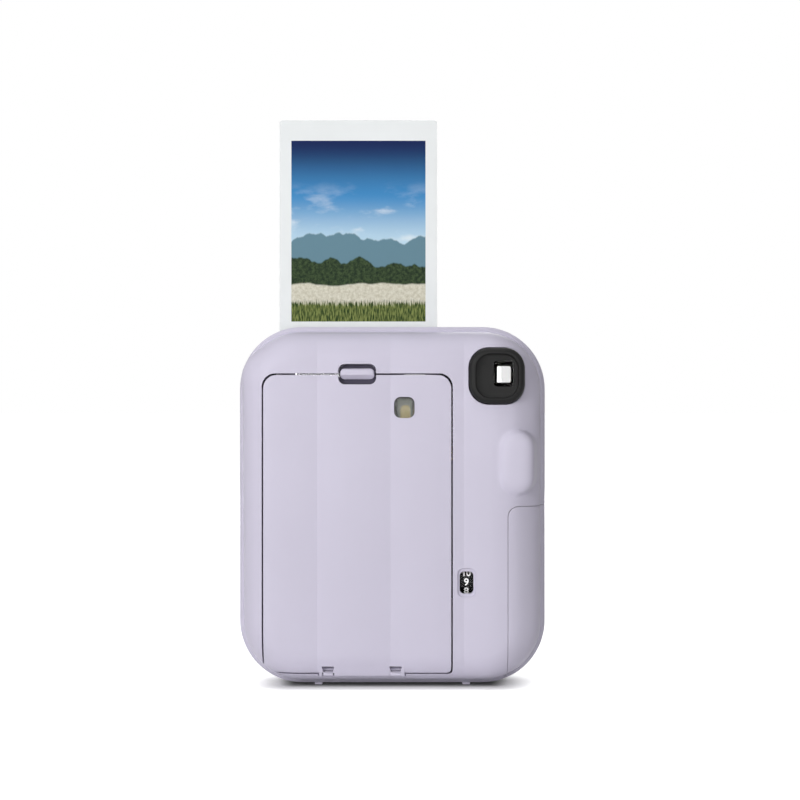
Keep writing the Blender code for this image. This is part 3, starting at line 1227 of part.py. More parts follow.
def make_shutter():
    """Shutter plate behind the barrel, with two blades that swing apart on its pins."""
    start = CONE_END_DEPTH + GAP
    end = start + SHUTTER_PLATE
    layer = SHUTTER_BLADE + GAP
    plate = turned("shutter_disc", [(SHUTTER_MOUTH, start), (SHUTTER_DISC, start), (SHUTTER_DISC, end),
                                    (SHUTTER_MOUTH, end)], "depth", (FILM_X, LENS_Z))
    offset = SHUTTER_ARM / math.sqrt(2)
    blades = ((-1, "shutter_blade_left", 0), (1, "shutter_blade_right", 1))
    for side, name, order in blades:
        pivot = (FILM_X + side * offset, LENS_Z - offset)
        boolean(plate, rod("pivot", "depth", end - GAP, end + 2 * layer + GAP, pivot, SHUTTER_PIN), "UNION")
        back = end + GAP + order * layer
        blade = flat(name, [blade_outline(pivot, side), circle(pivot, SHUTTER_PIN + GAP)], "depth", back,
                     back + SHUTTER_BLADE)
        publish(blade, name, "black", origin=(pivot[0], back, pivot[1]))
    publish(plate, "shutter_plate", "charcoal")


def blade_outline(pivot, side):
    """Round eye and round cap joined by the tangents between them."""
    reach = math.atan2(1, -side)
    lean = math.acos((SHUTTER_EYE - SHUTTER_CAP) / SHUTTER_ARM)
    eye = arc(pivot, SHUTTER_EYE, reach + lean, reach + 2 * math.pi - lean, 8)
    cap = arc((FILM_X, LENS_Z), SHUTTER_CAP, reach - lean, reach + lean, 12)
    return eye + cap


def make_button():
    """Shutter button in its cup, with its return spring."""
    spot = (BUTTON_X, BUTTON_Z)
    inner = BUTTON_RADIUS + GAP
    outer = inner + CUP_WALL
    rim = FACE_DEPTH + CUP_PROUD
    floor = CUP_BACK + CUP_FLOOR
    guide = BUTTON_STEM + GAP
    cup = [(guide, CUP_BACK), (outer, CUP_BACK), *fillet(outer, rim, CUP_WALL / 2), (inner, rim), (inner, floor),
           (guide, floor)]
    publish(turned("cup", cup, "depth", spot), "button_cup", "lilac")
    top = FACE_DEPTH + BUTTON_PROUD
    under = top - BUTTON_CAP
    button = [(0, CUP_BACK), (BUTTON_STEM, CUP_BACK), (BUTTON_STEM, under), (BUTTON_RADIUS, under),
              *fillet(BUTTON_RADIUS, top, WALL / 2), (0, top + WALL / 8)]
    publish(turned("cap", button, "depth", spot), "shutter_button", "charcoal")
    spring = coil("button_coil", "depth", floor + GAP, under - GAP, spot, BUTTON_SPRING_RADIUS, SPRING_WIRE,
                  BUTTON_SPRING_TURNS)
    publish(spring, "button_spring", "steel")


def make_battery_bay():
    """Tray with two cells, their contacts and the circuit board beside it."""
    span = (TRAY_BACK, TRAY_FRONT)
    tray = block("tray", (TRAY_LEFT, CELL_X), span, (TRAY_FLOOR - TRAY_WALL, TRAY_CEILING + TRAY_WALL))
    boolean(tray, block("tray_room", (TRAY_LEFT + TRAY_WALL, FAR), (-FAR, TRAY_FRONT - TRAY_WALL),
                        (TRAY_FLOOR, TRAY_CEILING)))
    publish(tray, "battery_tray", "charcoal", smooth=False)
    for depth, name, up in zip(CELL_DEPTHS, ("battery_cell_back", "battery_cell_front"), (True, False)):
        body_base = CELL_BASE if up else CELL_BASE + CELL_NUB
        cell = rod("can", "z", body_base, body_base + CELL_LENGTH, (CELL_X, depth), CELL_RADIUS, ROUND_SIDES)
        nub = (body_base + CELL_LENGTH - GAP, CELL_TOP) if up else (CELL_BASE, body_base + GAP)
        boolean(cell, rod("nub", "z", *nub, (CELL_X, depth), CELL_NUB_RADIUS), "UNION")
        publish(cell, name, "cell")
    contact_half = CELL_NUB_RADIUS + PANE
    xs = (CELL_X - contact_half, CELL_X + contact_half)
    bridge = block("bridge", xs, (CELL_DEPTHS[0] - contact_half, CELL_DEPTHS[1] + contact_half),
                   (CELL_TOP + GAP, CELL_TOP + GAP + CONTACT))
    publish(bridge, "battery_bridge", "steel", smooth=False)
    terminal = block("terminal", xs, (CELL_DEPTHS[1] - contact_half, CELL_DEPTHS[1] + contact_half),
                     (TRAY_FLOOR + GAP, CELL_BASE - GAP))
    publish(terminal, "battery_terminal", "steel", smooth=False)
    spring = coil("battery_coil", "z", TRAY_FLOOR + GAP, CELL_BASE - GAP, (CELL_X, CELL_DEPTHS[0]),
                  BATTERY_SPRING_RADIUS, BATTERY_SPRING_WIRE, BATTERY_SPRING_TURNS)
    publish(spring, "battery_spring", "steel")
    board_right = TRAY_LEFT - GAP
    board = block("board", (board_right - BOARD_PLATE, board_right), (BOARD_BACK, BOARD_FRONT), (BOARD_BASE, BOARD_TOP))
    chip = (BOARD_FRONT - BOARD_BACK) / 3
    chip_z = (BOARD_BASE + BOARD_TOP) / 2
    boolean(board, block("chip", (board_right - 2 * BOARD_PLATE, board_right - BOARD_PLATE / 2),
                         (BOARD_BACK + chip, BOARD_FRONT - chip), (chip_z - chip / 2, chip_z + chip / 2)), "UNION")
    publish(board, "main_board", "board", smooth=False)


def make_strap_bar():
    """Bar for the wrist strap across its recess in the side."""
    reach = STRAP_OPENING / 2 + STRAP_WALL / 2
    bar = rod("bar_pin", "z", STRAP_Z - reach, STRAP_Z + reach, (STRAP_X, STRAP_DEPTH), STRAP_BAR_RADIUS)
    publish(bar, "strap_bar", "lilac")


def main():
    """Build every sub-part."""
    make_transport()
    make_lens()
    make_counter()
    make_viewfinder()
    make_button()
    make_battery_bay()
    make_strap_bar()
    make_film()
    make_hinge_pin()
    outer = housing("housing")
    inner = cavity("cavity")
    make_flash(outer)
    door = make_door(outer, inner)
    make_door_pieces(door)
    make_battery_cover(outer, inner)
    make_back_shell(outer, inner)
    make_front_shell(outer, inner)


main()
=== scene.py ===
"""Looks of an instant camera that stands with its film door to the viewer and a print leaving its top.

Sizes are in millimetres. Depths run forwards from the tops of the lobes on the back, heights run up from
the floor.
"""

import logging
import math
from dataclasses import dataclass
from enum import Enum
from typing import Any, Optional, Sequence, Union

import bmesh
import bpy
from mathutils import Matrix, Vector


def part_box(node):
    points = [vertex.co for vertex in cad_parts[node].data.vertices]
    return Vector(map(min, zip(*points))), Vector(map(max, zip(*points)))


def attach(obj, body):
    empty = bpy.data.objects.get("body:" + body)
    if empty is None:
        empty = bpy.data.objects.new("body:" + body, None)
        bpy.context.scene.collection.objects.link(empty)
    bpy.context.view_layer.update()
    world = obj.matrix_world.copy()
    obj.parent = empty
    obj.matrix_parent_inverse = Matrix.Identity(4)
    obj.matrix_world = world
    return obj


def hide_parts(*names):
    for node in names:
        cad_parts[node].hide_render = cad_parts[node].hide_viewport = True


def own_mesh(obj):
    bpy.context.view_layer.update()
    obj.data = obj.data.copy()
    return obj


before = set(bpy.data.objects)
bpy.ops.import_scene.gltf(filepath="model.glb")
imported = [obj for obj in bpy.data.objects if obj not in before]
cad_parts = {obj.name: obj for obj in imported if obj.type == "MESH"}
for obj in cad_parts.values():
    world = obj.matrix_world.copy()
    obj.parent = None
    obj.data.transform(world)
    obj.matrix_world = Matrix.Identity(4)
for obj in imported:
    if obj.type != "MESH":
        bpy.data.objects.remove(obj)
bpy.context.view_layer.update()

LOG = logging.getLogger("instant_camera")
MM = 0.001
DATUM = -35.55
FAR = 300.0

# Distances in metres under which points or edges count as one
MERGE = 1e-7
FINE_MERGE = 1e-8
WELD = 2e-6
SLIVER = 1e-6

# Shading and facets
SHARP = math.radians(32)
CREASE_REACH = 0.004
CREASE_DEPTH = 7.0
GLOSS_SWING = 0.035
FACING = 1e-3
STRIPS = 8
THUMB_CUTS = (32, 40)
TURN_STEPS = 20
WIRE_SIDES = 8

# Places as distance across and height, or across and depth for the strap
FILM_X = -11.65
LENS_SPOT = (FILM_X, 54.0)
EYEPIECE_SPOT = (34.9, 105.1)
SIGHT_SPOT = (37.25, 105.9)
FINDER_SPOT = (39.5, 106.2)
FLASH_SPOT = (-22.0, 103.5)
SENSOR_SPOT = (8.0, 103.5)
COUNTER_SPOT = (24.8, 36.2)
BUTTON_SPOT = (37.2, 76.0)
WINDOW_SPOT = (4.06, 94.6)
STRAP_SPOT = (-50.6, 22.0)

# Point that the lamps face, in metres
LAMP_AIM = Vector((0.0, 0.0, 0.08))

Span = tuple[float, float]
Colour = tuple[float, float, float]
Form = bmesh.types.BMesh
Piece = bpy.types.Object
Socket = bpy.types.NodeSocket


class Axis(Enum):
    """Line that a turned piece runs along."""

    ACROSS = 0
    DEPTH = 1
    UP = 2


class Carve(Enum):
    """What a tool does to the piece that it meets."""

    CUT = "DIFFERENCE"
    JOIN = "UNION"
    KEEP = "INTERSECT"


CUT, JOIN, KEEP = Carve


# Shapes


def at(x: float, depth: float, z: float) -> Vector:
    """Point in metres from millimetres and a depth in front of the lobe tops."""
    return Vector((x, DATUM + depth, z)) * MM


def round_edges(form: Form, edges: Sequence[bmesh.types.BMEdge], size: float, steps: int) -> None:
    """Round some edges of a form.

    Args:
        form: Mesh that holds the edges.
        edges: Edges to round.
        size: Radius in millimetres.
        steps: Facets across the round.
    """
    bmesh.ops.bevel(form, geom=list(edges), offset=size * MM, offset_type="OFFSET", segments=steps,
                    profile=0.5, affect="EDGES", material=-1, clamp_overlap=True)


def halve(form: Form, spot: Vector, normal: Sequence[float], reach: float, **settings: bool) -> list[Any]:
    """Cut a whole form along a plane.

    Args:
        form: Mesh to cut.
        spot: Point on the plane, in metres.
        normal: Its direction.
        reach: Distance at which a point counts as on the plane.
        settings: Sides to clear.

    Returns:
        Points and edges of the cut.
    """
    geom = [*form.verts, *form.edges, *form.faces]
    return bmesh.ops.bisect_plane(form, geom=geom, dist=reach, plane_co=spot, plane_no=normal,
                                  **settings)["geom_cut"]


def block(xs: Span, depths: Span, zs: Span, radius: float = 0.0, lower: Optional[float] = None,
          back_edge: float = 0.0, front_edge: float = 0.0, steps: int = 8) -> Form:
    """Box with rounded corners about the depth, and soft rims where they are asked for.

    Args:
        xs: Left and right side.
        depths: Back and front.
        zs: Foot and top.
        radius: Radius of the corners.
        lower: Radius of the lower corners, where it differs.
        back_edge: Round of the rear rim.
        front_edge: Round of the front rim.
        steps: Facets in a corner.

    Returns:
        The box as a new mesh.
    """
    low, high = at(xs[0], depths[0], zs[0]), at(xs[1], depths[1], zs[1])
    form = bmesh.new()
    bmesh.ops.create_cube(form, size=1.0, matrix=Matrix.LocRotScale((low + high) / 2, None, high - low))
    middle = (low.z + high.z) / 2
    for upper, corner in ((True, radius), (False, radius if lower is None else lower)):
        if corner > 0:
            edges = [edge for edge in form.edges
                     if abs(edge.verts[0].co.y - edge.verts[1].co.y) > (high.y - low.y) / 2
                     and (edge.verts[0].co.z > middle) == upper]
            round_edges(form, edges, corner, steps)
    for depth, rim in ((low.y, back_edge), (high.y, front_edge)):
        if rim > 0:
            edges = [edge for edge in form.edges
                     if all(abs(vert.co.y - depth) < MERGE for vert in edge.verts)]
            round_edges(form, edges, rim, max(3, steps // 2))
    return form


def plate(x: float, z: float, width: float, height: float, depths: Span, radius: float = 0.0,
          back_edge: float = 0.0, front_edge: float = 0.0, steps: int = 8) -> Form:
    """Rounded rectangle about a point, run through a range of depths.

    Args:
        x: Middle across.
        z: Middle height.
        width: Size across.
        height: Size in height.
        depths: Back and front.
        radius: Radius of the corners.
        back_edge: Round of the rear rim.
        front_edge: Round of the front rim.
        steps: Facets in a corner.

    Returns:
        The plate as a new mesh.
    """
    xs, zs = (x - width / 2, x + width / 2), (z - height / 2, z + height / 2)
    return block(xs, depths, zs, radius, None, back_edge, front_edge, steps)


def rod(axis: Axis, span: Span, cross: Span, radius: float, sides: int = 48, rim: float = 0.0) -> Form:
    """Cylinder along one axis.

    Args:
        axis: Its direction.
        span: Start and end along it.
        cross: Its two other coordinates, in the order across, depth, height.
        radius: Its radius.
        sides: Facets round it.
        rim: Round of its two ends.

    Returns:
        The cylinder as a new mesh.
    """
    middle = (span[0] + span[1]) / 2
    spot, turn = {
        Axis.ACROSS: ((middle, *cross), Matrix.Rotation(math.pi / 2, 4, "Y")),
        Axis.DEPTH: ((cross[0], middle, cross[1]), Matrix.Rotation(-math.pi / 2, 4, "X")),
        Axis.UP: ((*cross, middle), Matrix.Identity(4)),
    }[axis]
    form = bmesh.new()
    bmesh.ops.create_cone(form, cap_ends=True, segments=sides, radius1=radius * MM, radius2=radius * MM,
                          depth=(span[1] - span[0]) * MM, matrix=Matrix.Translation(at(*spot)) @ turn)
    if rim > 0:
        ends = [face for face in form.faces if len(face.verts) > 4]
        edges = dict.fromkeys(edge for face in ends for edge in face.edges)
        round_edges(form, list(edges), rim, 4)
    return form


def run(profile: Sequence[Span], xs: Span) -> Form:
    """Run a closed profile along the width.

    Args:
        profile: Points as depth and height.
        xs: Left and right end.

    Returns:
        The bar as a new mesh.
    """
    form = bmesh.new()
    face = form.faces.new([form.verts.new(at(xs[0], depth, z)) for depth, z in profile])
    made = bmesh.ops.extrude_face_region(form, geom=[face])["geom"]
    verts = [part for part in made if isinstance(part, bmesh.types.BMVert)]
    bmesh.ops.translate(form, verts=verts, vec=((xs[1] - xs[0]) * MM, 0, 0))
    return form


def spun(profile: Sequence[Span], axis: Axis, centre: Span, sides: int = 96) -> Form:
    """Turn a profile once round a line.

    Args:
        profile: Points as radius and distance, closed by itself or by the axis.
        axis: Line along the width or the depth.
        centre: Its two other coordinates.
        sides: Facets round it.

    Returns:
        The turned form as a new mesh.
    """
    form = bmesh.new()
    if axis is Axis.DEPTH:
        points = [at(centre[0] + radius, distance, centre[1]) for radius, distance in profile]
        hub, line = at(centre[0], 0, centre[1]), (0, 1, 0)
    else:
        points = [at(distance, centre[0], centre[1] + radius) for radius, distance in profile]
        hub, line = at(0, centre[0], centre[1]), (1, 0, 0)
    verts = [form.verts.new(point) for point in points]
    edges = [form.edges.new(pair) for pair in zip(verts, verts[1:])]
    if profile[0][0] > 0 and profile[-1][0] > 0:
        edges.append(form.edges.new((verts[-1], verts[0])))
    bmesh.ops.spin(form, geom=verts + edges, cent=hub, axis=line, dvec=(0, 0, 0), angle=2 * math.pi,
                   steps=sides, use_merge=True, use_normal_flip=False, use_duplicate=False)
    bmesh.ops.remove_doubles(form, verts=form.verts, dist=MERGE)
    return form


def coil(axis: Axis, low: Sequence[float], high: Sequence[float], wire: float, turns: int) -> Form:
    """Wound spring that fills a box.

    Args:
        axis: Its direction, depth or up.
        low: Lowest corner of the box, in metres.
        high: Highest corner of the box, in metres.
        wire: Radius of its wire.
        turns: Its turns.

    Returns:
        The spring as a new mesh.
    """
    first, second, along = (0, 1, 2) if axis is Axis.UP else (2, 0, 1)
    middle = [(start + end) / 2 for start, end in zip(low, high)]
    radius = (high[first] - low[first]) / 2 - wire * MM
    rise = high[along] - low[along] - 2 * wire * MM
    form = bmesh.new()
    last: list[bmesh.types.BMVert] = []
    for step in range(turns * TURN_STEPS + 1):
        turn = math.tau * step / TURN_STEPS
        ring = []
        for side in range(WIRE_SIDES):
            angle = math.tau * side / WIRE_SIDES
            far = radius + wire * MM * math.cos(angle)
            spot = Vector(middle)
            spot[first] += far * math.cos(turn)
            spot[second] += far * math.sin(turn)
            spot[along] += rise * (step / (turns * TURN_STEPS) - 0.5) + wire * MM * math.sin(angle)
            ring.append(form.verts.new(spot))
        for side in range(WIRE_SIDES if last else 0):
            form.faces.new((last[side - 1], last[side], ring[side], ring[side - 1]))
        if not last or step == turns * TURN_STEPS:
            form.faces.new(ring)
        last = ring
    bmesh.ops.recalc_face_normals(form, faces=form.faces)
    return form


def fillet(radius: float, distance: float, size: float, steps: int = 8) -> list[Span]:
    """Rounded outer corner of a turned profile.

    Args:
        radius: Outer radius of the piece.
        distance: Its front.
        size: Radius of the round.
        steps: Facets across it.

    Returns:
        Points from the side to the front.
    """
    turns = [math.pi / 2 * step / steps for step in range(steps + 1)]
    return [(radius - size + size * math.cos(turn), distance - size + size * math.sin(turn))
            for turn in turns]


def solid(name: str, form: Form) -> Piece:
    """Object from a form, with merged points and its faces turned outwards.

    Args:
        name: Name of the piece.
        form: Its mesh, which is used up.

    Returns:
        The new object.
    """
    bmesh.ops.remove_doubles(form, verts=form.verts, dist=MERGE)
    bmesh.ops.recalc_face_normals(form, faces=form.faces)
    mesh = bpy.data.meshes.new(name)
    form.to_mesh(mesh)
    form.free()
    piece = bpy.data.objects.new(name, mesh)
    bpy.context.scene.collection.objects.link(piece)
    soften(piece)
    return piece


def soften(piece: Piece, creases: Sequence[float] = ()) -> None:
    """Smooth shading with sharp edges where faces meet at an angle, and along the creases between lobes.

    Args:
        piece: Object to shade.
        creases: Places across of the creases.
    """
    form = bmesh.new()
    form.from_mesh(piece.data)
    bmesh.ops.remove_doubles(form, verts=form.verts, dist=WELD)
    bmesh.ops.dissolve_degenerate(form, edges=form.edges, dist=SLIVER)
    bmesh.ops.triangulate(form, faces=[face for face in form.faces if len(face.verts) > 4])
    for face in form.faces:
        face.smooth = True
    for edge in form.edges:
        edge.smooth = len(edge.link_faces) == 2 and edge.calc_face_angle(0.0) < SHARP
        ends = [vert.co / MM for vert in edge.verts]
        shallow = all(end.y - DATUM < CREASE_DEPTH for end in ends)
        if shallow and any(all(abs(end.x - crease) < CREASE_REACH for end in ends) for crease in creases):
            edge.smooth = False
    form.to_mesh(piece.data)
    form.free()


def carve(piece: Piece, steps: Sequence[tuple[Carve, Form]], creases: Sequence[float] = ()) -> Piece:
    """Cut, join or trim a piece with tools, in order.

    Args:
        piece: Object to work on.
        steps: What each tool does, and its form.
        creases: Places across where the shading breaks.

    Returns:
        The same object with its new mesh.
    """
    tools = []
    for kind, form in steps:
        tool = solid("tool", form)
        change = piece.modifiers.new("carve", "BOOLEAN")
        change.operation, change.solver, change.object = kind.value, "EXACT", tool
        tools.append(tool)
    graph = bpy.context.evaluated_depsgraph_get()
    mesh = bpy.data.meshes.new_from_object(piece.evaluated_get(graph))
    piece.modifiers.clear()
    old, piece.data = piece.data, mesh
    bpy.data.meshes.remove(old)
    for tool in tools:
        spent = tool.data
        bpy.data.objects.remove(tool)
        bpy.data.meshes.remove(spent)
    soften(piece, creases)
    return piece


# Finishes


class Graph:
    """Shorthand for the nodes of a material or a node group."""

    def __init__(self, tree: bpy.types.NodeTree) -> None:
        """Work on one node tree."""
        self.tree = tree

    def fill(self, node: bpy.types.Node, inputs: dict[Union[int, str], Any]) -> None:
        """Give inputs of a node their values or sockets.

        Args:
            node: Node to fill.
            inputs: Values or sockets by name or number.
        """
        for key, value in inputs.items():
            if isinstance(value, Socket):
                self.tree.links.new(value, node.inputs[key])
            else:
                node.inputs[key].default_value = value

    def add(self, kind: str, inputs: Optional[dict[Union[int, str], Any]] = None,
            **settings: Any) -> bpy.types.Node:
        """Place a node.

        Args:
            kind: Node type without its leading word.
            inputs: Values or sockets for its inputs, by name or number.
            settings: Attributes of the node.

        Returns:
            The new node.
        """
        node = self.tree.nodes.new("ShaderNode" + kind)
        for name, value in settings.items():
            setattr(node, name, value)
        self.fill(node, inputs or {})
        return node

    def noise(self, place: Any, scale: Any, detail: float = 2.0, roughness: float = 0.5) -> Socket:
        """Cloudy value at a place."""
        inputs = {"Vector": place, "Scale": scale, "Detail": detail, "Roughness": roughness}
        return self.add("TexNoise", inputs).outputs[0]

    def bump(self, strength: float, distance: float, height: Any) -> bpy.types.Node:
        """Relief from a height, with its depth in metres."""
        return self.add("Bump", {"Strength": strength, "Distance": distance, "Height": height})

    def maths(self, operation: str, first: Any, second: Any = 0.0, clamp: bool = False) -> Socket:
        """Result of one sum on two values or sockets."""
        return self.add("Math", {0: first, 1: second}, operation=operation, use_clamp=clamp).outputs[0]

    def mix(self, factor: Any, first: Any, second: Any) -> Socket:
        """Colour between two colours or sockets."""
        values = [value if isinstance(value, Socket) else (*value, 1.0) for value in (first, second)]
        node = self.add("Mix", {0: factor, 6: values[0], 7: values[1]}, data_type="RGBA")
        return node.outputs[2]

    def ramp(self, value: Any, low: float, high: float, start: float = 0.0, end: float = 1.0) -> Socket:
        """Value moved from one range to another, with soft ends."""
        inputs = {0: value, 1: low, 2: high, 3: start, 4: end}
        return self.add("MapRange", inputs, interpolation_type="SMOOTHSTEP").outputs[0]

    def group(self, tree: bpy.types.NodeTree, inputs: dict[str, float]) -> bpy.types.Node:
        """Place a shared effect with its own values."""
        node = self.tree.nodes.new("ShaderNodeGroup")
        node.node_tree = tree
        self.fill(node, inputs)
        return node


def effect(name: str, inputs: dict[str, float],
           outputs: Sequence[str]) -> tuple[bpy.types.NodeTree, Graph]:
    """Start a shared effect as a node group.

    Args:
        name: Name of the group.
        inputs: Its inputs and their usual values.
        outputs: Its outputs.

    Returns:
        The group and its graph, with one input and one output node.
    """
    tree = bpy.data.node_groups.new(name, "ShaderNodeTree")
    for label, value in inputs.items():
        socket = tree.interface.new_socket(label, in_out="INPUT", socket_type="NodeSocketFloat")
        socket.default_value = value
    for label in outputs:
        tree.interface.new_socket(label, in_out="OUTPUT", socket_type="NodeSocketFloat")
    tree.nodes.new("NodeGroupInput")
    tree.nodes.new("NodeGroupOutput")
    return tree, Graph(tree)


def moulding() -> bpy.types.NodeTree:
    """Fine grain of a mould, a slow drift of tone and the soft marks of handling."""
    name = "moulded_surface"
    if name in bpy.data.node_groups:
        return bpy.data.node_groups[name]
    usual = {"Grain": 4200.0, "Drift": 26.0, "Marks": 90.0}
    tree, graph = effect(name, usual, ("Height", "Tone", "Gloss"))
    sizes = tree.nodes["Group Input"].outputs
    result = tree.nodes["Group Output"].inputs
    place = graph.add("TexCoord").outputs["Object"]
    tree.links.new(graph.noise(place, sizes["Grain"], 2.0, 0.6), result["Height"])
    tree.links.new(graph.ramp(graph.noise(place, sizes["Drift"], 3.0), 0.3, 0.7), result["Tone"])
    tree.links.new(graph.ramp(graph.noise(place, sizes["Marks"], 6.0, 0.65), 0.35, 0.75), result["Gloss"])
    return tree


def brushing() -> bpy.types.NodeTree:
    """Fine lines of drawn or turned metal with a slow drift of tone."""
    name = "drawn_surface"
    if name in bpy.data.node_groups:
        return bpy.data.node_groups[name]
    tree, graph = effect(name, {"Lines": 1600.0, "Stretch": 0.04}, ("Height", "Tone"))
    sizes = tree.nodes["Group Input"].outputs
    result = tree.nodes["Group Output"].inputs
    place = graph.add("TexCoord").outputs["Object"]
    stretch = graph.add("CombineXYZ", {0: 1.0, 1: sizes["Stretch"], 2: 1.0}).outputs[0]
    drawn = graph.add("VectorMath", {0: place, 1: stretch}, operation="MULTIPLY").outputs[0]
    tree.links.new(graph.noise(drawn, sizes["Lines"], 3.0), result["Height"])
    tree.links.new(graph.ramp(graph.noise(place, 160.0), 0.3, 0.7), result["Tone"])
    return tree


@dataclass(frozen=True)
class Finish:
    """Moulded plastic, rubber or paint: colour, grain and gloss."""

    name: str
    colour: Colour
    roughness: float = 0.45
    grain: float = 4200.0
    relief: float = 0.012
    drift: float = 0.04
    edge: float = 0.0
    coat: float = 0.0
    gleam: float = 0.5

    def start(self) -> tuple[bpy.types.Material, Graph, bpy.types.Node]:
        """Empty material with its shader."""
        material = bpy.data.materials.new(self.name)
        material.use_nodes = True
        return material, Graph(material.node_tree), material.node_tree.nodes["Principled BSDF"]

    def material(self) -> bpy.types.Material:
        """The material, built at its first use."""
        return bpy.data.materials.get(self.name) or self.build()

    def shade(self, amount: float) -> Colour:
        """The colour made darker or lighter."""
        return tuple(min(1.0, part * amount) for part in self.colour)

    def tone(self, graph: Graph, surface: bpy.types.Node) -> Socket:
        """The colour, darker and lighter by its drift."""
        return graph.mix(surface.outputs["Tone"], self.shade(1 - self.drift), self.shade(1 + self.drift))

    def build(self) -> bpy.types.Material:
        """Material with mould grain, drift of tone and handling marks in its gloss."""
        material, graph, shader = self.start()
        surface = graph.group(moulding(), {"Grain": self.grain})
        spread = (self.roughness - GLOSS_SWING, self.roughness + GLOSS_SWING)
        bump = graph.bump(0.5, self.relief * MM, surface.outputs["Height"])
        if self.edge > 0:
            rounded = graph.add("Bevel", {"Radius": self.edge * MM}, samples=6)
            graph.fill(bump, {"Normal": rounded.outputs[0]})
        graph.fill(shader, {"Base Color": self.tone(graph, surface), "Normal": bump.outputs[0],
                            "Roughness": graph.ramp(surface.outputs["Gloss"], 0.0, 1.0, *spread),
                            "Specular IOR Level": self.gleam, "Coat Weight": self.coat,
                            "Coat Roughness": 0.2})
        return material


@dataclass(frozen=True)
class Metal(Finish):
    """Bright metal with drawn lines."""

    lines: float = 1600.0

    def build(self) -> bpy.types.Material:
        """Material with fine lines in its relief and gloss."""
        material, graph, shader = self.start()
        surface = graph.group(brushing(), {"Lines": self.lines})
        height = surface.outputs["Height"]
        spread = (self.roughness - 0.04, self.roughness + 0.06)
        graph.fill(shader, {"Base Color": self.tone(graph, surface), "Metallic": 1.0,
                            "Roughness": graph.ramp(height, 0.3, 0.7, *spread),
                            "Normal": graph.bump(0.3, self.relief * MM, height).outputs[0]})
        return material


@dataclass(frozen=True)
class Clear(Finish):
    """Clear or tinted window or lens."""

    refraction: float = 1.49
    ribs: float = 0.0

    def build(self) -> bpy.types.Material:
        """Transmitting material with faint marks, and ribs where it has them."""
        material, graph, shader = self.start()
        surface = graph.group(moulding(), {})
        spread = (self.roughness, self.roughness + 0.02)
        tone = graph.mix(surface.outputs["Tone"], self.shade(1 - self.drift), self.colour)
        graph.fill(shader, {"Base Color": tone, "Transmission Weight": 1.0, "IOR": self.refraction,
                            "Roughness": graph.ramp(surface.outputs["Gloss"], 0.0, 1.0, *spread)})
        if self.ribs > 0:
            place = graph.add("TexCoord").outputs["Object"]
            wave = graph.add("TexWave", {"Vector": place, "Scale": self.ribs}, wave_type="BANDS",
                             bands_direction="Z")
            graph.fill(shader, {"Normal": graph.bump(0.8, 0.3 * MM, wave.outputs[0]).outputs[0]})
        return material


@dataclass(frozen=True)
class Board(Finish):
    """Circuit board with lacquered traces."""

    def build(self) -> bpy.types.Material:
        """Lacquer over a net of square traces."""
        material, graph, shader = self.start()
        place = graph.add("TexCoord").outputs["Object"]
        cells = graph.add("TexVoronoi", {"Vector": place, "Scale": 420.0}, distance="MANHATTAN",
                          feature="F1")
        lines = graph.ramp(cells.outputs["Distance"], 0.42, 0.5)
        graph.fill(shader, {"Base Color": graph.mix(lines, self.colour, self.shade(1.9)),
                            "Roughness": graph.ramp(lines, 0.0, 1.0, 0.4, 0.3),
                            "Normal": graph.bump(0.4, 0.04 * MM, lines).outputs[0]})
        return material


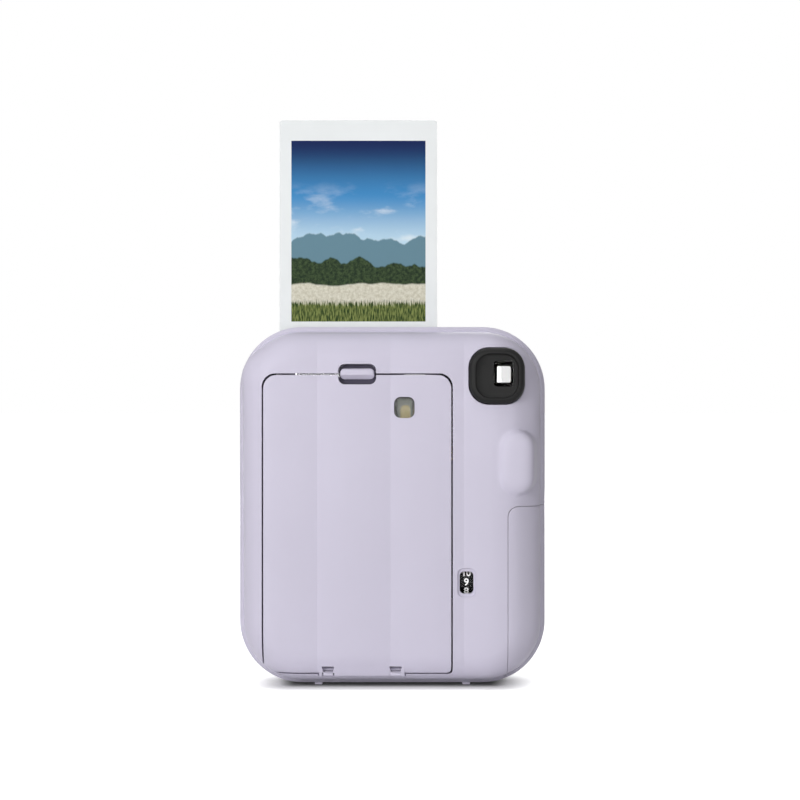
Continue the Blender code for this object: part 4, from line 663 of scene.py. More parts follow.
@dataclass(frozen=True)
class Picture(Finish):
    """Developed picture of hills under a blue sky."""

    left: float = -34.65
    foot: float = 124.0
    width: float = 46.0
    height: float = 62.0

    def build(self) -> bpy.types.Material:
        """Sky, clouds, hills, a pale path and grass, laid out over the picture's own width and height."""
        material, graph, shader = self.start()
        place = graph.add("TexCoord").outputs["Object"]
        parts = graph.add("SeparateXYZ", {0: place}).outputs
        across = graph.maths("DIVIDE", graph.maths("SUBTRACT", parts[0], self.left * MM), self.width * MM)
        up = graph.maths("DIVIDE", graph.maths("SUBTRACT", parts[2], self.foot * MM), self.height * MM)

        sky = graph.mix(graph.ramp(up, 0.40, 0.72), (0.50, 0.68, 0.80), self.colour)
        sky = graph.mix(graph.ramp(up, 0.66, 1.0), sky, (0.007, 0.018, 0.085))
        cloud_place = graph.add("Mapping", {"Vector": place, "Scale": (60.0, 60.0, 150.0)}).outputs[0]
        cloud = graph.noise(cloud_place, 1.0, 6.0, 0.55)
        low_sky = graph.ramp(up, 0.80, 0.55)
        veil = graph.maths("MULTIPLY", graph.ramp(cloud, 0.50, 0.72), low_sky)
        sky = graph.mix(graph.maths("MULTIPLY", veil, 0.75), sky, (0.86, 0.89, 0.90))

        far = self.ridge(graph, across, up, 0.47, 0.10, 5.0, 1.7)
        scene = graph.mix(far, (0.13, 0.24, 0.30), sky)
        near = self.ridge(graph, across, up, 0.335, 0.17, 3.1, 7.3)
        leaf = graph.noise(place, 900.0, 5.0, 0.7)
        trees = graph.mix(graph.ramp(leaf, 0.35, 0.7), (0.010, 0.022, 0.012), (0.060, 0.095, 0.038))
        scene = graph.mix(near, trees, scene)
        meadow = self.ridge(graph, across, up, 0.205, 0.05, 2.3, 3.9)
        field = graph.mix(graph.ramp(leaf, 0.3, 0.7), (0.50, 0.47, 0.36), (0.72, 0.70, 0.60))
        scene = graph.mix(meadow, field, scene)
        blade_place = graph.add("Mapping", {"Vector": place, "Scale": (2400.0, 1.0, 420.0)}).outputs[0]
        blades = graph.noise(blade_place, 1.0, 3.0)
        grass = graph.mix(graph.ramp(blades, 0.36, 0.66), (0.022, 0.045, 0.012), (0.22, 0.26, 0.075))
        edge = graph.maths("ADD", up, graph.maths("MULTIPLY", blades, 0.09))
        scene = graph.mix(graph.ramp(edge, 0.135, 0.165), grass, scene)

        gloss = graph.ramp(leaf, 0.0, 1.0, 0.36, 0.44)
        graph.fill(shader, {"Base Color": scene, "Roughness": gloss, "Specular IOR Level": 0.05})
        return material

    @staticmethod
    def ridge(graph: Graph, across: Any, up: Any, height: float, swing: float, scale: float,
              phase: float) -> Socket:
        """Mask that is one above a hill line.

        Args:
            graph: Graph to add to.
            across: Place across the picture.
            up: Height in the picture.
            height: Middle height of the line.
            swing: How far it rises and falls.
            scale: Hills across the picture.
            phase: Shift of the line.

        Returns:
            The mask.
        """
        place = graph.add("CombineXYZ", {0: across, 1: phase}).outputs[0]
        wander = graph.maths("SUBTRACT", graph.noise(place, scale, 4.0, 0.45), 0.5)
        rise = graph.maths("MULTIPLY", wander, swing * 2.2)
        line = graph.maths("ADD", rise, height)
        return graph.ramp(graph.maths("SUBTRACT", up, line), -0.006, 0.006)


LILAC = Finish("lilac_plastic", (0.610, 0.580, 0.695), 0.46, 3800.0, 0.010, 0.012, edge=0.35, gleam=0.14)
CHARCOAL = Finish("charcoal_rubber", (0.013, 0.013, 0.013), 0.45, 2600.0, 0.020, 0.15, edge=0.25,
                  gleam=0.12)
BLACK = Finish("black_plastic", (0.006, 0.006, 0.007), 0.55, 3000.0, 0.015, 0.15, gleam=0.15)
PACK = Finish("pack_plastic", (0.030, 0.031, 0.031), 0.45, 2200.0, 0.015, 0.12, gleam=0.3)
# The pack's panel grey and mark yellow are their own colours, lightened as painted light behind the
# door's window
PACK_PANEL_PAINTED_LIGHT = Finish("pack_panel_painted_light", (0.21, 0.22, 0.20), 0.40, 2200.0, 0.010, 0.10, gleam=0.3)
TUBE = Finish("matt_black", (0.004, 0.004, 0.004), 0.80, 2600.0, 0.015, 0.15, gleam=0.02)
# Dark violet on the latch slider: painted shade of the deep pocket round the knob
SLIDER_PAINTED_SHADE = Finish("slider_painted_shade", (0.055, 0.048, 0.078), 0.50, 3000.0, 0.010, 0.10, gleam=0.2)
SENSOR = Finish("sensor_cover", (0.012, 0.010, 0.014), 0.12, 5000.0, 0.002, 0.10, coat=0.6)
NYLON = Finish("nylon", (0.80, 0.79, 0.74), 0.50, 2600.0, 0.010, 0.03)
PAPER = Finish("print_border", (0.70, 0.723, 0.728), 0.38, 6500.0, 0.004, 0.008)
PRINT_BACK = Finish("print_back", (0.030, 0.030, 0.033), 0.40, 6500.0, 0.004, 0.08)
FILM = Finish("film_sheets", (0.10, 0.10, 0.11), 0.40, 5000.0, 0.006, 0.08)
DIGITS = Finish("counter_ink", (0.80, 0.80, 0.80), 0.50, 5200.0, 0.004, 0.02)
MARK_PAINTED_LIGHT = Finish("pack_mark_painted_light", (0.52, 0.415, 0.20), 0.50, 3000.0, 0.010, 0.08)
CELL = Finish("cell_sleeve", (0.10, 0.17, 0.14), 0.32, 4200.0, 0.004, 0.05, coat=0.4)
STEEL = Metal("spring_steel", (0.62, 0.62, 0.63), 0.28, relief=0.006, drift=0.05)
BLUED = Metal("blued_steel", (0.10, 0.10, 0.12), 0.40, relief=0.006, drift=0.08)
BRASS = Metal("brass", (0.70, 0.55, 0.28), 0.32, relief=0.006, drift=0.06)
MIRROR = Metal("mirror", (0.86, 0.87, 0.88), 0.06, relief=0.0005, drift=0.01)
PANE = Clear("clear_window", (0.97, 0.97, 0.97), 0.0, drift=0.01)
SIGHT = Clear("sight_window", (0.97, 0.97, 0.97), 0.0, drift=0.01, refraction=1.08)
SMOKED = Clear("smoked_window", (0.86, 0.87, 0.84), 0.02, drift=0.04, refraction=1.2)
COUNTER_PANE = Clear("counter_window", (0.98, 0.98, 0.98), 0.0, drift=0.01, refraction=1.12)
FLASH = Clear("flash_window", (0.93, 0.94, 0.95), 0.05, drift=0.02, ribs=160.0)
LENS = Clear("lens_glass", (0.90, 0.93, 0.97), 0.0, drift=0.01, refraction=1.52)
BOARD = Board("circuit_board", (0.020, 0.11, 0.055))
PICTURE = Picture("developed_picture", (0.055, 0.25, 0.53))


def dress(piece: Piece, finish: Finish, body: str, slot: str, *nodes: str) -> Piece:
    """Give a piece its finish and the body that it moves with.

    Args:
        piece: Object at the origin.
        finish: Its finish.
        body: Body that carries it.
        slot: Material slot of the record; not used.
        nodes: Solids that it stands for.

    Returns:
        The same object.
    """
    piece.data.materials.clear()
    piece.data.materials.append(finish.material())
    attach(piece, body)
    if nodes:
        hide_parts(*nodes)
    LOG.info("%s: %d faces on %s", piece.name, len(piece.data.polygons), body)
    return piece


# Housing


@dataclass
class Housing:
    """Lobed body in two halves, with the film door and the battery cover cut from the same form."""

    half_width: float = 52.0
    base: float = 0.8
    top: float = 122.0
    corner: float = 21.2
    face: float = 52.0
    front_round: Span = (15.0, 20.0)
    back_round: Span = (10.0, 11.0)
    parting: float = 14.0
    halves: Span = (13.5, 13.8)
    outline_steps: int = 20
    round_steps: int = 14
    inner_steps: int = 10
    inner_round_steps: int = 6
    rim_step: float = 1.9
    rim_round: float = 1.0
    wall: float = 2.0
    pitch: float = 24.5
    sag: float = 0.7
    shift: float = -0.6
    shoulders: Span = (-41.0, 32.0)
    bend: float = 0.0125
    bulge_angle: float = math.radians(161)
    bulge_span: float = math.radians(36)
    bulge: float = 1.6
    thumb: tuple[float, float, float] = (41.4, 1.6, 76.2)
    thumb_half: tuple[float, float, float] = (6.1, 3.0, 10.8)
    thumb_depth: float = 9.0
    thumb_foot: float = 24.0
    thumb_skirt: float = 1.5
    blend: float = 0.9
    film_x: float = FILM_X
    door_xs: Span = (-43.25, 19.95)
    door_zs: Span = (5.6, 105.7)
    door_depth: float = 7.2
    door_round: Span = (4.5, 1.5)
    pocket: Span = (12.6, 6.8)
    pocket_round: float = 2.2
    keeper_half: float = 7.5
    shelf_half: float = 1.6
    hinge_x: float = -10.15
    hinge: Span = (3.9, 5.5)
    hinge_half: float = 14.55
    barrel: float = 1.2
    knuckle: float = 0.95
    knuckle_turn: Span = (31.0, 150.0)
    lug: float = 0.85
    bore: float = 0.55
    notch_spread: float = 11.3
    notch_half: float = 2.1
    notch_zs: Span = (6.2, 8.1)
    notch_depths: Span = (3.0, 6.0)
    notch_taper: float = 0.74
    cover_x: float = 38.6
    cover_z: float = 61.5
    cover_depth: float = 34.0
    cover_round: float = 3.4
    foot_xs: Span = (-25.2, 25.2)
    foot_depths: Span = (17.5, 36.5)
    foot_half: Span = (1.3, 2.2)
    slot_half: float = 28.2
    seam: float = 0.25
    cover_seam: float = 0.06

    def creases(self) -> list[float]:
        """Places across where two lobes meet."""
        return [self.shift + self.pitch * step for step in range(-2, 3)]

    def lobe(self, x: float) -> float:
        """Depth of the back below its lobe tops at a place across."""
        place = (x - self.shift) / self.pitch
        across = 2 * (place - math.floor(place)) - 1
        return self.sag * across * across

    def slab(self, inset: float, depths: Span, steps: int) -> Form:
        """Plain slab with the outline's round corners."""
        xs = (inset - self.half_width, self.half_width - inset)
        return block(xs, depths, (self.base + inset, self.top - inset), self.corner - inset, steps=steps)

    @staticmethod
    def cap(form: Form, side: float) -> bmesh.types.BMFace:
        """Flat end face towards the back or the front."""

        def reach(face: bmesh.types.BMFace) -> float:
            """How far a face lies and looks that way."""
            return side * face.calc_center_median().y + FACING * side * face.normal.y

        return max(form.faces, key=reach)

    def build_up(self, form: Form, side: float, sections: Sequence[Span]) -> None:
        """Grow an end of the form through sections by insets and extrusions.

        Args:
            form: Mesh to grow.
            side: -1 for the back, 1 for the front.
            sections: Inset from the outline and depth of each section, the present end first.
        """
        form.normal_update()
        face = self.cap(form, side)
        for (inset, depth), (next_inset, next_depth) in zip(sections, sections[1:]):
            inwards, outwards = (next_inset - inset) * MM, side * (next_depth - depth) * MM
            if inwards > MERGE:
                bmesh.ops.inset_region(form, faces=[face], thickness=inwards, depth=outwards,
                                       use_even_offset=True, use_boundary=True)
            else:
                face = bmesh.ops.extrude_discrete_faces(form, faces=[face])["faces"][0]
                bmesh.ops.translate(form, verts=list(face.verts), vec=(0, side * outwards, 0))
            form.normal_update()

    @staticmethod
    def quarter(steps: int) -> list[Span]:
        """Sine and cosine over a quarter turn."""
        turns = [math.pi / 2 * step / steps for step in range(steps + 1)]
        return [(math.sin(turn), math.cos(turn)) for turn in turns]

    def outer(self) -> Form:
        """Whole outer form with its lobes, the strap swelling and the thumb rest."""
        start = self.face - self.front_round[1]
        form = self.slab(0.0, (self.parting + self.rim_round, start), self.outline_steps)
        back = [(0.0, self.parting + self.rim_round), (self.rim_round, self.parting),
                (self.rim_step, self.parting)]
        for sine, cosine in reversed(self.quarter(self.round_steps)):
            inset = self.rim_step + self.back_round[0] * (1 - sine)
            back.append((inset, self.back_round[1] * (1 - cosine)))
        self.build_up(form, -1.0, back)
        front = [(self.front_round[0] * (1 - sine), self.face - self.front_round[1] * (1 - cosine))
                 for sine, cosine in reversed(self.quarter(self.round_steps))]
        self.build_up(form, 1.0, front)
        self.slice_back(form)
        for vert in form.verts:
            self.swell(vert)
            self.hollow(vert)
            self.rest(vert)
        return form

    def slice_back(self, form: Form) -> None:
        """Cut the back into narrow strips across, and finely under the thumb rest."""
        deepest = self.back_round[1] + 0.5
        self.slice_strips(form, deepest)
        middle, half = self.thumb, self.thumb_half
        xs = (middle[0] - half[0] - 2.0, middle[0] + half[0] + 2.5)
        zs = (middle[2] - half[2] - 2.5, middle[2] + half[2] + 2.5)
        across, up = THUMB_CUTS
        for z in zs:
            self.slice(form, (0, 0, z), (0, 0, 1), deepest, (xs[0] - 4, FAR, -FAR, FAR))
        for step in range(up + 1):
            z = zs[0] + (zs[1] - zs[0]) * step / up
            self.slice(form, (0, 0, z), (0, 0, 1), self.thumb_depth, (*xs, *zs))
        for step in range(across + 1):
            x = xs[0] + (xs[1] - xs[0]) * step / across
            self.slice(form, (x, 0, 0), (1, 0, 0), self.thumb_depth, (*xs, *zs))

    def slice_strips(self, form: Form, deepest: float) -> None:
        """Cut a form into narrow strips across, in step with the lobes."""
        for step in range(-2 * STRIPS, 2 * STRIPS + 1):
            self.slice(form, (self.shift + self.pitch * step / STRIPS, 0, 0), (1, 0, 0), deepest, None)

    @staticmethod
    def slice(form: Form, spot: tuple[float, float, float], normal: tuple[float, float, float],
              deepest: float, window: Optional[tuple[float, float, float, float]]) -> None:
        """Cut the faces near the back along a plane.

        Args:
            form: Mesh to cut.
            spot: Point on the plane.
            normal: Its direction.
            deepest: Depth up to which faces are cut.
            window: Left, right, foot and top of the area, or None for all.
        """
        faces = []
        for face in form.faces:
            middle = face.calc_center_median() / MM
            inside = window is None or (window[0] < middle.x < window[1]
                                        and window[2] < middle.z < window[3])
            if middle.y - DATUM < deepest and inside:
                faces.append(face)
        parts = dict.fromkeys(part for face in faces for part in (face, *face.edges, *face.verts))
        bmesh.ops.bisect_plane(form, geom=list(parts), dist=MERGE, plane_co=Vector(spot) * MM,
                               plane_no=normal)

    def swell(self, vert: bmesh.types.BMVert) -> None:
        """Push the strap corner of the rear half outwards."""
        depth = vert.co.y / MM - DATUM
        hub = Vector((self.corner - self.half_width, 0, self.top - self.corner))
        arm = Vector((vert.co.x / MM - hub.x, 0, vert.co.z / MM - hub.z))
        beside = arm.x > 0 or arm.z < -self.corner / 2 or arm.length < 1
        if depth > self.parting + self.rim_round or beside:
            return
        angle = math.atan2(max(arm.z, 0.0), arm.x)
        share = max(-1.0, min(1.0, (angle - self.bulge_angle) / self.bulge_span))
        fade = 1.0 if arm.z >= 0 else max(0.0, 1 + 2 * arm.z / self.corner)
        inset = self.corner - (arm.length if arm.z >= 0 else abs(arm.x))
        if depth > self.parting - 0.01:
            reach = max(0.0, min(1.0, inset / self.rim_step))
        else:
            reach = max(0.0, min(1.0, 1 - (inset - self.rim_step) / self.back_round[0]))
        push = self.bulge * reach * (0.5 + 0.5 * math.cos(math.pi * share)) * fade
        way = arm.normalized() if arm.z >= 0 else Vector((-1, 0, 0))
        vert.co += way * push * MM

    def hollow(self, vert: bmesh.types.BMVert) -> None:
        """Lower the back between the lobe tops and towards its two sides."""
        depth, x = vert.co.y / MM - DATUM, vert.co.x / MM
        if depth < self.back_round[1]:
            beyond = max(0.0, self.shoulders[0] - x, x - self.shoulders[1])
            drop = self.lobe(x) + self.bend * beyond * beyond
            vert.co.y += (1 - depth / self.back_round[1]) ** 2 * drop * MM

    def rest(self, vert: bmesh.types.BMVert) -> None:
        """Raise the thumb rest, a long pill with a soft foot."""
        depth = vert.co.y / MM - DATUM
        across = (vert.co.x / MM - self.thumb[0]) / self.thumb_half[0]
        beyond = abs(vert.co.z / MM - self.thumb[2]) - (self.thumb_half[2] - self.thumb_half[0])
        far = math.hypot(across, max(0.0, beyond) / self.thumb_half[0])
        if depth > self.thumb_depth or far > self.thumb_skirt:
            return
        if far < 1:
            dome = self.thumb[1] - self.thumb_half[1] * math.sqrt(1 - far ** 3)
        else:
            dome = self.thumb[1] + self.thumb_foot * (far - 1)
        share = max(0.0, min(1.0, 0.5 + 0.5 * (dome - depth) / self.blend))
        raised = dome + (depth - dome) * share - self.blend * share * (1 - share)
        vert.co.y = (DATUM + raised) * MM

    def cavity(self) -> Form:
        """Inner form, one wall inside the outer one."""
        wall, step = self.wall, self.rim_step
        start = self.face - wall - (self.front_round[1] - wall)
        form = self.slab(wall, (self.parting + 2 * step, start), self.inner_steps)
        back = [(wall, self.parting + 2 * step), (step + wall, self.parting + step)]
        width, depth = self.back_round[0] - wall, self.back_round[1] - wall
        for sine, cosine in reversed(self.quarter(self.inner_round_steps)):
            back.append((step + wall + width * (1 - sine), self.sag + wall + depth * (1 - cosine)))
        self.build_up(form, -1.0, back)
        width, depth = self.front_round[0] - wall, self.front_round[1] - wall
        front = [(wall + width * (1 - sine), self.face - wall - depth * (1 - cosine))
                 for sine, cosine in reversed(self.quarter(self.inner_round_steps))]
        self.build_up(form, 1.0, front)
        return form

    def door_room(self, grow: float) -> Form:
        """Room of the film door, grown or shrunk by a seam."""
        xs = (self.door_xs[0] - grow, self.door_xs[1] + grow)
        zs = (self.door_zs[0] - grow, self.door_zs[1] + grow)
        return block(xs, (-FAR, self.door_depth + grow), zs, *self.door_round)

    def cover_room(self, grow: float) -> Form:
        """Room of the battery cover, grown or shrunk by a seam."""
        depths, zs = (-FAR, self.cover_depth + grow), (-FAR, self.cover_z + grow)
        return block((self.cover_x - grow, FAR), depths, zs, self.cover_round)

    def lugs(self, grow: float) -> list[Span]:
        """Runs across of the two hinge lugs."""
        half = self.notch_half - 0.5 + grow
        middles = [self.hinge_x + side * self.notch_spread for side in (-1, 1)]
        return [(middle - half, middle + half) for middle in middles]

    def notch(self, start: float, end: float) -> Form:
        """Opening in the door above a lug, narrower and shallower at its foot."""
        form = block((start, end), (-FAR, self.notch_depths[1]), self.notch_zs)
        middle = (start + end) / 2 * MM
        for vert in form.verts:
            if vert.co.z < sum(self.notch_zs) / 2 * MM:
                vert.co.x = middle + (vert.co.x - middle) * self.notch_taper
                vert.co.y = min(vert.co.y, (DATUM + self.notch_depths[0]) * MM)
        return form

    def knuckles(self) -> Form:
        """Foot of the door at the hinge: it carries the round down to the pin and wraps it."""
        depth, z = self.hinge
        start, end = self.knuckle_turn
        turns = [math.radians(start + (end - start) * step / 12) for step in range(13)]
        wrap = [(depth - self.knuckle * math.cos(turn), z - self.knuckle * math.sin(turn))
                for turn in turns]
        half = self.hinge_half - self.seam
        profile = [(1.30, 8.1), (1.345, 7.91), *wrap, (4.72, 6.3), (2.4, 8.1)]
        form = run(profile, (self.hinge_x - half, self.hinge_x + half))
        self.slice_strips(form, FAR)
        for vert in form.verts:
            self.hollow(vert)
        return form

    def latch_pocket(self, deep: float) -> Form:
        """Recess round the latch, across the door's top edge."""
        return plate(self.film_x, self.door_zs[1], *self.pocket, (-FAR, deep), self.pocket_round)

    def build(self) -> None:
        """Make and dress both halves, the door and the battery cover, with what they carry."""
        self.back_shell()
        self.front_shell()
        self.film_door()
        self.battery_cover()

    def back_shell(self) -> None:
        """Rear half with the openings of the door, eyepiece, counter and battery cover."""
        keeper = (self.film_x - self.keeper_half, self.film_x + self.keeper_half)
        groove = (self.hinge_x - self.hinge_half - self.seam, self.hinge_x + self.hinge_half + self.seam)
        steps = [(KEEP, block((-FAR, FAR), (-FAR, self.halves[0]), (-FAR, FAR))), (CUT, self.cavity()),
                 (JOIN, block(keeper, (2.0, 5.7), (109.4, 110.6))),
                 (JOIN, block(keeper, (4.5, 5.7), (105.7, 109.7))),
                 (CUT, self.door_room(self.seam)),
                 (CUT, rod(Axis.ACROSS, groove, self.hinge, self.barrel + 0.5))]
        for start, end in self.lugs(0.0):
            steps.append((JOIN, rod(Axis.ACROSS, (start, end), self.hinge, self.lug)))
            steps.append((JOIN, block((start + 0.3, end - 0.3), (3.9, 6.3), (4.9, 5.1))))
            steps.append((CUT, rod(Axis.ACROSS, (start - 0.5, end + 0.5), self.hinge, self.bore)))
        steps += [(CUT, self.cover_room(self.cover_seam)), (CUT, self.latch_pocket(3.6)),
                  (CUT, plate(*EYEPIECE_SPOT, 19.1, 19.25, (-FAR, 6.7), 6.9, steps=14)),
                  (CUT, plate(*COUNTER_SPOT, 4.6, 7.4, (-FAR, 3.0), 1.4)),
                  (CUT, plate(*COUNTER_SPOT, 6.0, 9.5, (-FAR, self.lobe(COUNTER_SPOT[0]) + 0.5), 1.9))]
        shell = carve(solid("rear_housing", self.outer()), steps, self.creases())
        dress(shell, LILAC, "housing", "body", "back_shell")

    def front_shell(self) -> None:
        """Front half with its feet, strap recess, film slot, lens opening and windows."""
        steps = [(KEEP, block((-FAR, FAR), (self.halves[1], FAR), (-FAR, FAR))), (CUT, self.cavity())]
        across, deep = self.foot_half
        for x in self.foot_xs:
            for depth in self.foot_depths:
                xs, depths = (x - across, x + across), (depth - deep, depth + deep)
                steps.append((JOIN, block(xs, depths, (0.0, 1.9), 0.25, steps=3)))
        slot = (self.film_x - self.slot_half, self.film_x + self.slot_half)
        steps += [(JOIN, block((-51.0, -45.0), (17.5, 26.5), (92.5, 104.5))),
                  (CUT, block((-FAR, -46.5), (19.0, 25.0), (94.0, 103.0))),
                  (CUT, rod(Axis.UP, (92.95, 104.05), STRAP_SPOT, 1.1)),
                  (CUT, block(slot, (16.55, 19.45), (114.0, FAR))),
                  (CUT, rod(Axis.DEPTH, (21.1, FAR), LENS_SPOT, 32.3, 128)),
                  (CUT, plate(*FLASH_SPOT, 26.6, 13.6, (46.0, FAR), 3.3)),
                  (CUT, plate(*FINDER_SPOT, 10.4, 10.8, (39.4, FAR), 2.8)),
                  (CUT, plate(*SENSOR_SPOT, 11.6, 5.6, (46.0, FAR), 2.5, steps=12)),
                  (CUT, rod(Axis.DEPTH, (43.0, FAR), BUTTON_SPOT, 8.1, 64)),
                  (CUT, self.cover_room(self.cover_seam))]
        shell = carve(solid("front_housing", self.outer()), steps)
        dress(shell, LILAC, "housing", "body", "front_shell")
        bar = rod(Axis.UP, (93.25, 103.75), STRAP_SPOT, 0.8, 32, 0.2)
        dress(solid("strap_loop_bar", bar), LILAC, "housing", "body", "strap_bar")

    def film_door(self) -> None:
        """Door with its hinge section, window and latch shelf."""
        half = self.hinge_half - self.seam
        pin = (self.hinge_x - half + 0.5, self.hinge_x + half - 0.5)
        steps = [(KEEP, self.door_room(-self.seam)), (CUT, self.cavity()), (JOIN, self.knuckles()),
                 (CUT, rod(Axis.ACROSS, pin, self.hinge, self.bore))]
        for start, end in self.lugs(0.5):
            steps.append((CUT, rod(Axis.ACROSS, (start + 0.02, end - 0.02), self.hinge, self.lug + 0.3)))
            steps.append((CUT, self.notch(start, end)))
        shelf = (self.film_x - self.shelf_half, self.film_x + self.shelf_half)
        steps += [(JOIN, block(shelf, (2.0, 6.2), (93.86, 95.06))), (CUT, self.latch_pocket(3.0)),
                  (CUT, plate(*WINDOW_SPOT, 6.8, 7.0, (-FAR, 3.0), 2.2, steps=12))]
        door = carve(solid("film_door", self.outer()), steps, self.creases())
        dress(door, LILAC, "door", "body", "back_door")
        pane = plate(*WINDOW_SPOT, 6.2, 6.4, (0.8, 1.8), 1.9, back_edge=0.25, steps=12)
        dress(solid("film_window", pane), SMOKED, "door", "clear", "door_window")
        self.latch()

    def latch(self) -> None:
        """Sliding latch with a rounded knob that slopes away below, on a slider whose dark violet colour
        is painted shade in the pocket round the knob.
        """
        x = self.film_x
        knob = block((x - 5.7, x + 5.7), (0.3, 2.95), (104.0, 107.6), 1.5, back_edge=0.7, steps=10)
        cut = halve(knob, at(x, 0.3, 105.5), (0, -1.35, -1.6), MERGE, clear_outer=True)
        rim = [part for part in cut if isinstance(part, bmesh.types.BMEdge)]
        bmesh.ops.holes_fill(knob, edges=rim, sides=0)
        dress(solid("latch_knob", knob), LILAC, "latch", "body")
        body = block((x - 7.8, x + 7.8), (3.0, 4.2), (99.5, 104.9), 0.6, steps=4)
        tongue = block((x - 6.0, x + 6.0), (3.0, 4.2), (102.3, 108.8), 2.2)
        slider = carve(solid("latch_slider", body), [(JOIN, tongue)])
        # The slider shows in the pocket above and below the knob; its dark colour is painted shade
        dress(slider, SLIDER_PAINTED_SHADE, "latch", "charcoal", "door_latch")

    def battery_cover(self) -> None:
        """Cover round the lower right edge, with its two tongues."""
        steps = [(KEEP, self.cover_room(-self.cover_seam)), (CUT, self.cavity())]
        edge = self.cover_x + self.seam
        for z in (self.cover_z / 3, 2 * self.cover_z / 3):
            zs = (z - 4.0, z + 4.0)
            steps.append((JOIN, block((edge + 0.3, edge + 2.6), (2.0, 4.4), zs)))
            steps.append((JOIN, block((edge - 2.6, edge + 0.6), (3.0, 4.4), zs)))
        cover = carve(solid("cell_cover", self.outer()), steps, self.creases())
        dress(cover, LILAC, "battery_door", "body", "battery_cover")

    def flash_plate(self) -> Piece:
        """Piece of the front's own surface that closes the flash."""
        room = plate(*FLASH_SPOT, 26.0, 13.0, (48.0, FAR), 3.0)
        return carve(solid("flash_cover", self.outer()), [(KEEP, room)])


# Viewfinder, flash and counter


@dataclass
class Viewfinder:
    """Eyepiece on the back and the window in its bezel on the front."""

    eyepiece: Span = EYEPIECE_SPOT
    size: Span = (18.5, 18.65)
    sight: Span = SIGHT_SPOT
    front: Span = FINDER_SPOT

    def build(self) -> None:
        """Make and dress the eyepiece, its lens, the front bezel and its panes."""
        ring = plate(*self.eyepiece, *self.size, (-1.5, 3.8), 6.6, back_edge=1.6, steps=16)
        steps = [(JOIN, plate(*self.sight, 8.5, 10.4, (3.5, 5.8), 2.1)),
                 (CUT, plate(*self.eyepiece, 14.3, 14.9, (-FAR, 1.0), 5.0, front_edge=0.5, steps=16)),
                 (CUT, plate(*self.sight, 6.7, 8.6, (-FAR, FAR), 1.2))]
        dress(carve(solid("eyepiece", ring), steps), CHARCOAL, "housing", "charcoal", "eyepiece_ring")
        lens = plate(*self.sight, 7.0, 8.9, (1.8, 3.8), 1.3)
        dress(solid("sight_pane", lens), SIGHT, "housing", "clear", "eyepiece_lens")
        bezel = plate(*self.front, 9.8, 10.2, (40.0, 50.8), 2.5, front_edge=0.6, steps=12)
        steps = [(CUT, plate(*self.front, 6.8, 7.2, (40.8, FAR), 1.2)),
                 (CUT, plate(*self.front, 4.98, 6.05, (-FAR, FAR), 0.9))]
        rim = carve(solid("front_bezel", bezel), steps)
        dress(rim, CHARCOAL, "housing", "charcoal", "viewfinder_bezel")
        pane = plate(*self.front, 6.2, 6.6, (49.0, 50.0), 0.9)
        dress(solid("front_pane", pane), PANE, "housing", "clear", "viewfinder_window")
        objective = plate(*self.front, 6.8, 7.2, (38.3, 39.7), 0.3)
        dress(solid("objective_pane", objective), PANE, "housing", "clear", "viewfinder_objective")


@dataclass
class Flash:
    """Flash window and light sensor on the front."""

    housing: Housing

    def build(self) -> None:
        """Make and dress the flash window, the sensor's cover and the flash tube."""
        dress(self.housing.flash_plate(), FLASH, "housing", "clear", "flash_window")
        sensor = plate(*SENSOR_SPOT, 11.0, 5.0, (48.8, 51.6), 2.2, front_edge=0.5, steps=12)
        dress(solid("sensor_cover", sensor), SENSOR, "housing", "charcoal", "sensor_window")
        tube = rod(Axis.ACROSS, (-34.0, -10.0), (45.4, FLASH_SPOT[1]), 1.3, 32, 0.6)
        dress(solid("flash_lamp", tube), LENS, "housing", "lens_glass", "flash_tube")


